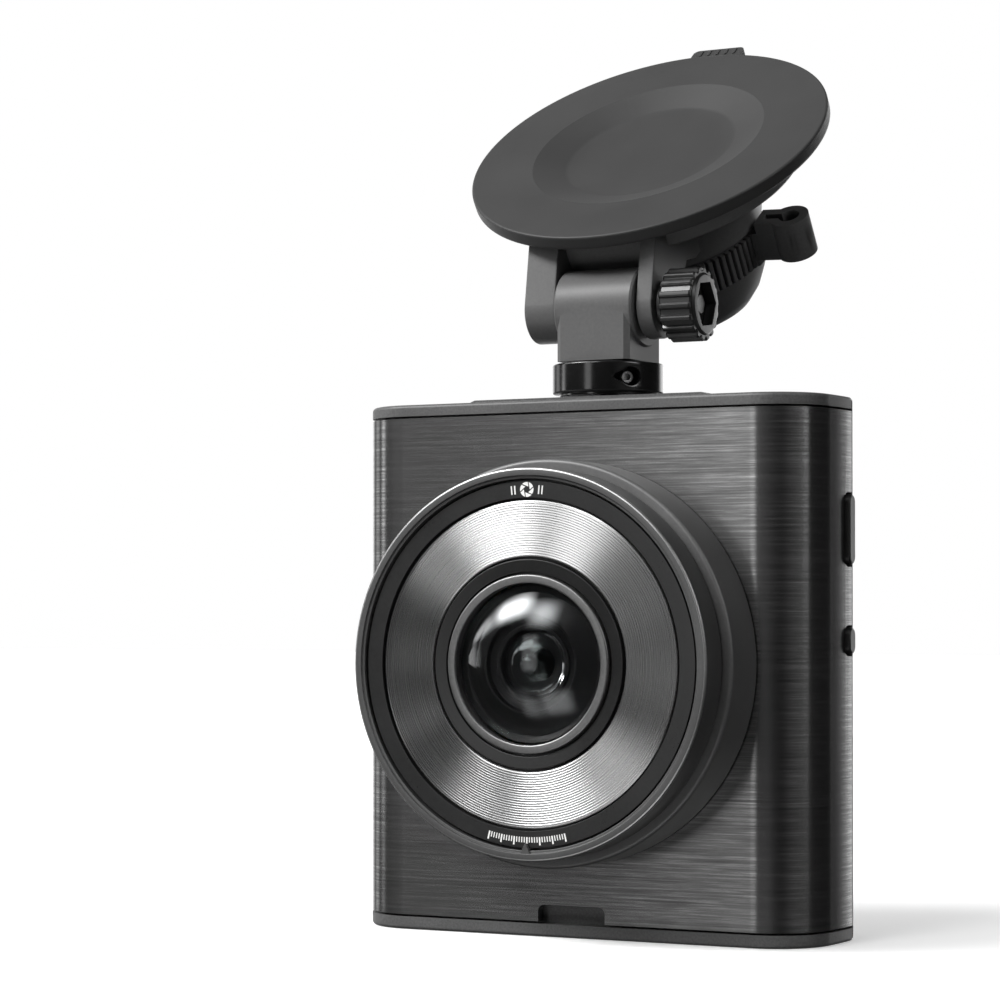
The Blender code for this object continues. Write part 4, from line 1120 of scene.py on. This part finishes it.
def make_stem():
    half = STEM_HALF
    flat = half - STEM_CHAMFER
    groove = 0.12 - half
    square = [(half, -flat), (half, flat), (flat, half), (0.0, half), (-flat, half),
              (-half, flat), (-half, -flat), (-flat, groove), (0.0, -half), (flat, groove)]
    centre = (0.0, HINGE_AT.z)
    eye = []
    for x, inset in ((-EYE_HALF_WIDTH, 0.25), (-EYE_HALF_WIDTH + 0.25, 0.0),
                     (EYE_HALF_WIDTH - 0.25, 0.0), (EYE_HALF_WIDTH, 0.25)):
        eye.append((circle(centre, EYE_RADIUS - inset, 96), x))
    stem = Piece("stem", prism(square, COLLAR_HIGH + GAP, HINGE_AT.z))
    stem.join(layered(eye, "YZ"))
    stem.cut(cylinder(centre, BOLT_HOLE, -9.0, 9.0, "YZ"))
    stem.soften(0.18, 3, 38.0)
    foot = Piece("stem_foot", cylinder(ORIGIN, 3.2, 73.3, COLLAR_HIGH + 1.0))
    foot.soften(0.2, 2).finish("swivel_base", "mount_grey", "mount")
    stem.finish("swivel_base", "mount_grey", "mount", "mount_stem")


def make_bolt():
    head_x = LEFT_ARM_X[0] + 0.1
    steps = [(0.0, head_x + 1.0), (0.0, THREAD_X)]
    for turn in range(THREAD_TURNS):
        x = THREAD_X + 0.5 * turn
        steps += [(0.14, x + 0.12), (0.02, x + 0.25), (0.02, x + 0.38)]
    steps += [(0.1, 13.2), (0.3, 13.4)]
    shank = layered([(circle(ORIGIN, BOLT_RADIUS - cut, 48), x) for cut, x in steps], "YZ")
    head = prism(hexagon(ORIGIN, 6.3, 0.0), head_x, head_x + 2.0, "YZ")
    bolt = Piece("hinge_bolt_turned", head, AT_TILT)
    bolt.soften(0.15, 2).join(shank).finish("cup", "steel", "steel_dark", "hinge_bolt")


def knob_outline(shrink):
    """Ribbed rim: flat-topped ribs with rounded shoulders and narrow grooves."""
    points = []
    pitch = 360.0 / KNOB_RIBS
    top = KNOB_RADIUS - shrink
    for rib in range(KNOB_RIBS):
        for radius, first, last, steps in ((KNOB_RADIUS - KNOB_RIB_DEPTH - shrink, -0.2, 0.2, 2),
                                           (top - 0.1, 0.29, 0.3, 1), (top, 0.38, 0.62, 4),
                                           (top - 0.1, 0.7, 0.71, 1)):
            start = rib * pitch
            points += arc(ORIGIN, radius, start + first * pitch, start + last * pitch, steps)
    return points


def make_knob():
    low, high = KNOB_X
    sections = [(knob_outline(0.3), low), (knob_outline(0.0), low + 0.3),
                (knob_outline(0.0), high - 0.55), (knob_outline(0.2), high - 0.3)]
    rim = [(0.0, high - 1.0, 0.0), (3.95, high - 1.0), (4.3, high - 0.5, 0.1), (3.85, high, 0.2),
           (0.0, high, 0.0)]
    knob = Piece("tilt_knob_ribbed", layered(sections, "YZ"), AT_TILT)
    sideways = Matrix.Rotation(math.radians(90.0), 4, 'Y')
    knob.join(turned(eased(rim, 0.05, 4), 96), placing=AT_TILT @ sideways)
    knob.join(cylinder(ORIGIN, 3.3, RIGHT_ARM_X[1] + GAP, low + 1.0, "YZ"))
    knob.cut(prism(hexagon(ORIGIN, HEX_POCKET, 90.0), high - 3.6, high + 1.0, "YZ"),
             cylinder(ORIGIN, BOLT_HOLE, low - 2.0, high - 3.0, "YZ"))
    knob.finish("tilt_knob", "knob_black", "knob", "tilt_knob")
    nut = Piece("knob_nut", prism(hexagon(ORIGIN, 5.9, 90.0), high - 3.3, high - 1.4, "YZ"),
                AT_TILT)
    nut.soften(0.15, 2).cut(cylinder(ORIGIN, BOLT_HOLE, low - 2.0, high + 1.0, "YZ"))
    nut.finish("tilt_knob", "steel", "steel_dark", "hinge_nut")


# ---------------------------------------------------------------- suction cup

def arm_outline(inset):
    points = arc(CUP_HINGE, ARM_ROUND - inset, 133.5, 322.5, 48)
    points += [(-14.5, -10.6 + inset), (-11.5, -12.0 + inset), (-7.2, -12.0 + inset),
               (-7.2, -2.6), (-21.4 + inset, -2.6)]
    return points


def fork_arm(low, high):
    """One arm of the fork, its outer edges chamfered in two steps."""
    steps = ((0.28, low), (0.09, low + 0.08), (0.0, low + 0.28), (0.0, high - 0.28),
             (0.09, high - 0.08), (0.28, high))
    return layered([(arm_outline(inset), x) for inset, x in steps], "YZ")


def make_cup_housing():
    edge = FLANGE_RADIUS
    floor = -SKIRT_THICKNESS - GAP
    profile = [(0.0, -SKIRT_THICKNESS - 2.6, 0.0), (CONE_RADIUS, -SKIRT_THICKNESS - 2.6),
               (16.2, floor), (edge, floor, 0.15), (edge, -6.0, 0.35), (edge - 1.6, -6.0, 0.3),
               (edge - 2.4, -5.1, 0.3), (12.9, -5.1, 0.5), (12.9, -13.5, 0.2), (0.0, -13.5, 0.0)]
    web = [(-20.3, -2.6), (-20.3, -6.9), (-19.6, -8.6), (-19.1, -10.0), (-17.0, -10.0),
           (-15.5, -5.0), (-15.5, -2.6)]
    cavity = [(0.0, -1.0), (16.25, -1.0), (16.25, floor - 0.02),
              (CONE_RADIUS, -SKIRT_THICKNESS - 2.62), (CONE_RADIUS, -6.3), (2.4, -6.3),
              (2.4, -15.0), (0.0, -15.0)]
    left_x = LEFT_ARM_X[0]
    housing = Piece("cup_shell", turned(eased(profile, 0.1, 4), 144), AT_CUP)
    housing.join(fork_arm(*LEFT_ARM_X), fork_arm(*RIGHT_ARM_X),
                 prism(web, LEFT_ARM_X[1] - 0.5, RIGHT_ARM_X[0] + 0.5, "YZ"))
    housing.cut(turned(cavity, 96),
                prism(hexagon(CUP_HINGE, HEX_POCKET, 0.0), left_x - 1.0, left_x + 2.4, "YZ"),
                cylinder(CUP_HINGE, BOLT_HOLE, left_x + 1.0, RIGHT_ARM_X[1] + 1.0, "YZ"))
    housing.finish("cup", "mount_grey", "mount", "cup_housing")


def loop_solid(neck_half, lobe_radius, start, low, high):
    """A slab for the finger loop: a neck from the start outwards and a round lobe."""
    lobe_start = math.degrees(math.asin(neck_half / lobe_radius))
    points = [(start, -neck_half)]
    points += arc((LOOP_CENTRE, 0.0), lobe_radius, -180.0 + lobe_start, 180.0 - lobe_start, 48)
    points.append((start, neck_half))
    return turn_about_z(prism(points, low, high), LOOP_TURN_DEG)


def lock_ribs():
    """Eleven narrow ribs in the rim's recess and one broad boss at its end."""
    inner = LOCK_BODY - 1.2
    rib = rounded(inner, LOCK_RADIUS + 0.02, -0.33, 0.33, 0.2, 4)
    ribs = [turn_about_z(prism(rib, -18.75, -14.1), -61.0 + index * 4.6) for index in range(11)]
    boss = rounded(inner, LOCK_RADIUS + 0.05, -1.0, 1.0, 0.35, 4)
    return gathered(ribs + [turn_about_z(prism(boss, -19.0, -14.0), -8.0)])


def make_lock_knob():
    radius = LOCK_BODY
    profile = [(11.0, -13.8), (radius, -13.8, 0.25), (radius, -18.9), (12.1, -20.0),
               (11.4, -21.6), (10.2, -24.0), (8.7, -25.8), (6.5, -27.1), (3.5, -27.8),
               (0.0, -28.0, 0.0), (0.0, -25.0, 0.0), (8.0, -24.2), (8.6, -20.2), (2.7, -20.2),
               (2.7, -17.2), (11.0, -17.2)]
    start, end = RIB_RECESS_DEG
    sector = arc(ORIGIN, radius - 0.5, start, end, 24) + arc(ORIGIN, radius + 2.0, end, start, 24)
    knob = Piece("lock_dome", turned(eased(profile, 0.9, 4), 144), AT_CUP)
    knob.cut(prism(sector, -18.9, -13.0))
    knob.join(lock_ribs(), loop_solid(*LOOP_HALVES, 12.0, *LOOP_Z),
              loop_solid(*LOOP_HALVES, 13.5, -17.2, LOOP_TOP))
    knob.cut(loop_solid(0.6, 1.45, 14.4, -19.0, LOOP_TOP + 1.0))
    knob.soften(0.12, 3, 50.0)
    knob.finish("cup_lock", "mount_grey", "lock", "lock_knob")


def make_skirt():
    radius = SKIRT_RADIUS
    profile = [(RECESS_OUTER, 0.0, 0.02), (radius, 0.0, 0.35), (radius, -SKIRT_THICKNESS, 0.5),
               (RECESS_OUTER, -SKIRT_THICKNESS)]
    tab = rounded(SKIRT_TAB_X - 3.9, SKIRT_TAB_X + 3.9, radius - 2.5, radius + 2.3, 0.9)
    ribs = []
    for index in range(5):
        x = SKIRT_TAB_X - 2.6 + index * 1.3
        rib = rounded(x - 0.22, x + 0.22, radius + 0.4, radius + 2.0, 0.2, 3)
        ribs.append(prism(rib, -0.5, -0.18))
    skirt = Piece("skirt_rim", turned(eased(profile, 0.02, 6), 256), AT_CUP)
    skirt.join(prism(tab, -1.9, -0.3), gathered(ribs))
    skirt.soften(0.1, 2, 50.0)
    skirt.finish("cup", "rubber", "rubber", "suction_skirt")


def make_membrane():
    """The skirt's middle, which the pull rod draws in on the real cup; here a fixed dished sheet on
    no body, its placing baked into its mesh.
    """
    front = []
    for index in range(9):
        share = index / 8
        radius = RECESS_OUTER + (RECESS_INNER - RECESS_OUTER) * share
        front.append((radius, -RECESS_DEPTH * share))
    front += [(RECESS_INNER * (1 - index / 6), -RECESS_DEPTH) for index in range(1, 6)]
    front.append((0.0, -RECESS_DEPTH))
    back = [(radius, height - MEMBRANE_THICKNESS) for radius, height in reversed(front)]
    item = Piece("skirt_membrane", turned(front + back, 192), AT_CUP).finish(
        None, "rubber", "rubber")
    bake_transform(item)


# ---------------------------------------------------------------- carried-over nodes

INNER_LOOKS = {
    "board": ("main_board", "button_board", "side_switch_board"),
    "cell": ("image_sensor", "lens_holder"),
    "battery": ("battery",),
    "key": ("speaker", "pull_rod"),
    "steel": ("swivel_screw", "swivel_washer", "cam_pin", "board_screw_1", "board_screw_2",
              "board_screw_3", "board_screw_4"),
}


def dress_inner_nodes():
    """Procedural finishes for the CAD pieces that are kept as they are."""
    for look, nodes in INNER_LOOKS.items():
        for node in nodes:
            for slot in frame["nodes"][node].material_slots:
                slot.material = LOOKS[look]


# ---------------------------------------------------------------- stage

def make_floor():
    outline = rectangle(-FLOOR_HALF, FLOOR_HALF, -FLOOR_HALF, FLOOR_HALF)
    floor = placed_object("floor", prism(outline, -4.0, -0.05), AT_BODY)
    look = Look("pale_floor", Roughness=0.9, Emission_Strength=0.45)
    colour = look.greys(look.grain(0.01, 2.0), 0.86, 0.9)
    floor.data.materials.append(look.wire(Base_Color=colour, Emission_Color=colour))
    floor.visible_glossy = False
    floor.visible_transmission = False
    floor.visible_diffuse = False
    floor.visible_shadow = False


# A studio of soft panels. A panel's first angles run from the camera's left (-90) to its right
# (90); its second angles run round the left-to-right axis, from straight ahead (0) up over the
# top (90), or from straight behind (0) where it is a panel behind. Each pair is a middle and a
# half size, then come the edge softness in degrees and the strength.
PANELS_AHEAD = (
    ((-37.0, 13.0), (53.0, 8.0), 8.0, 31.0),
    ((-10.0, 9.0), (43.0, 8.0), 8.0, 12.0),
    ((-66.0, 10.0), (53.0, 8.0), 5.0, 6.0),
    ((-82.0, 6.0), (16.0, 28.0), 4.0, 2.6),
    ((4.0, 12.0), (-34.0, 9.0), 6.0, 2.8),
    ((-18.0, 7.0), (-38.0, 8.0), 5.0, 1.5),
    ((-28.0, 9.0), (-30.0, 6.0), 5.0, 0.5),
    ((-29.0, 10.0), (0.0, 24.0), 3.0, 0.03),
    ((-17.5, 6.5), (9.0, 15.0), 2.5, 1.75),
    ((70.0, 22.0), (0.0, 24.0), 14.0, 0.14),
    ((62.0, 16.0), (70.0, 14.0), 8.0, 5.0),
    ((-30.0, 30.0), (92.0, 14.0), 12.0, 0.7),
)
PANELS_BEHIND = (
    ((-78.0, 9.0), (0.0, 40.0), 6.0, 1.0),
    ((-36.0, 20.0), (5.0, 40.0), 10.0, 1.4),
    ((3.0, 19.0), (2.0, 15.0), 6.0, 2.7),
)
BASE_LIGHT = 0.018


def panel_light(tree, across, round_angle, spans, soft_deg, strength):
    """Brightness of one soft panel in the direction being looked in."""
    share = strength
    for angle, (middle, half) in zip((across, round_angle), spans):
        offset = tree.math('ABSOLUTE', tree.math('SUBTRACT', angle, math.radians(middle)))
        inside = tree.spread(offset, math.radians(half + soft_deg), math.radians(half - soft_deg),
                             kind='SMOOTHSTEP')
        share = tree.math('MULTIPLY', inside, share)
    return share


def make_world():
    world = bpy.data.worlds.new("studio")
    bpy.context.scene.world = world
    world.use_nodes = True
    world.node_tree.nodes.clear()
    tree = Tree(world.node_tree)
    spot = tree.add("ShaderNodeTexCoord").outputs["Generated"]
    direction = tree.add("ShaderNodeVectorMath", {0: spot}, operation='NORMALIZE').outputs[0]
    x, y, z = tree.parts(direction)
    across = tree.math('ARCSINE', x)
    ahead = tree.math('ARCTAN2', z, tree.math('MULTIPLY', y, -1.0))
    behind = tree.math('ARCTAN2', z, y)
    total = BASE_LIGHT
    for angle, panels in ((ahead, PANELS_AHEAD), (behind, PANELS_BEHIND)):
        for first, second, soft_deg, strength in panels:
            light = panel_light(tree, across, angle, (first, second), soft_deg, strength)
            total = tree.math('ADD', light, total)
    white = (1.0, 1.0, 1.0, 1.0)
    studio = tree.add("ShaderNodeBackground", {"Color": white, "Strength": total}).outputs[0]
    backdrop = tree.add("ShaderNodeBackground", {"Color": white, "Strength": 1.0}).outputs[0]
    seen = tree.add("ShaderNodeLightPath").outputs["Is Camera Ray"]
    mixed = tree.add("ShaderNodeMixShader", {0: seen, 1: studio, 2: backdrop}).outputs[0]
    tree.add("ShaderNodeOutputWorld", {"Surface": mixed})


CAMERA_AT = (0.1663, -0.3505, 0.0419)
CAMERA_PITCH_DEG = 0.69
CAMERA_YAW_DEG = 27.52
CAMERA_LENS = 104.78
CAMERA_SHIFT = 0.08


def make_camera():
    data = bpy.data.cameras.new("camera")
    data.lens = CAMERA_LENS
    data.sensor_width = 36.0
    data.clip_start = 0.01
    data.shift_y = CAMERA_SHIFT
    camera = bpy.data.objects.new("camera", data)
    camera.location = CAMERA_AT
    camera.rotation_euler = (math.radians(90.0 + CAMERA_PITCH_DEG), 0.0,
                             math.radians(CAMERA_YAW_DEG))
    bpy.context.scene.collection.objects.link(camera)
    bpy.context.scene.camera = camera


def main():
    for make in (make_front_cover, make_top_cap, make_bottom_cap, make_rear_housing,
                 make_back_panel, make_screen, make_screen_icons, make_menu_keys,
                 make_side_buttons, make_side_marks, make_sockets, make_barrel, make_ring_marks,
                 make_dish, make_lens_rings, make_glasses, make_collar, make_stem, make_bolt,
                 make_knob, make_cup_housing, make_lock_knob, make_skirt, make_membrane,
                 dress_inner_nodes, make_floor, make_world, make_camera):
        make()
    bpy.context.scene.view_settings.view_transform = 'Standard'


main()
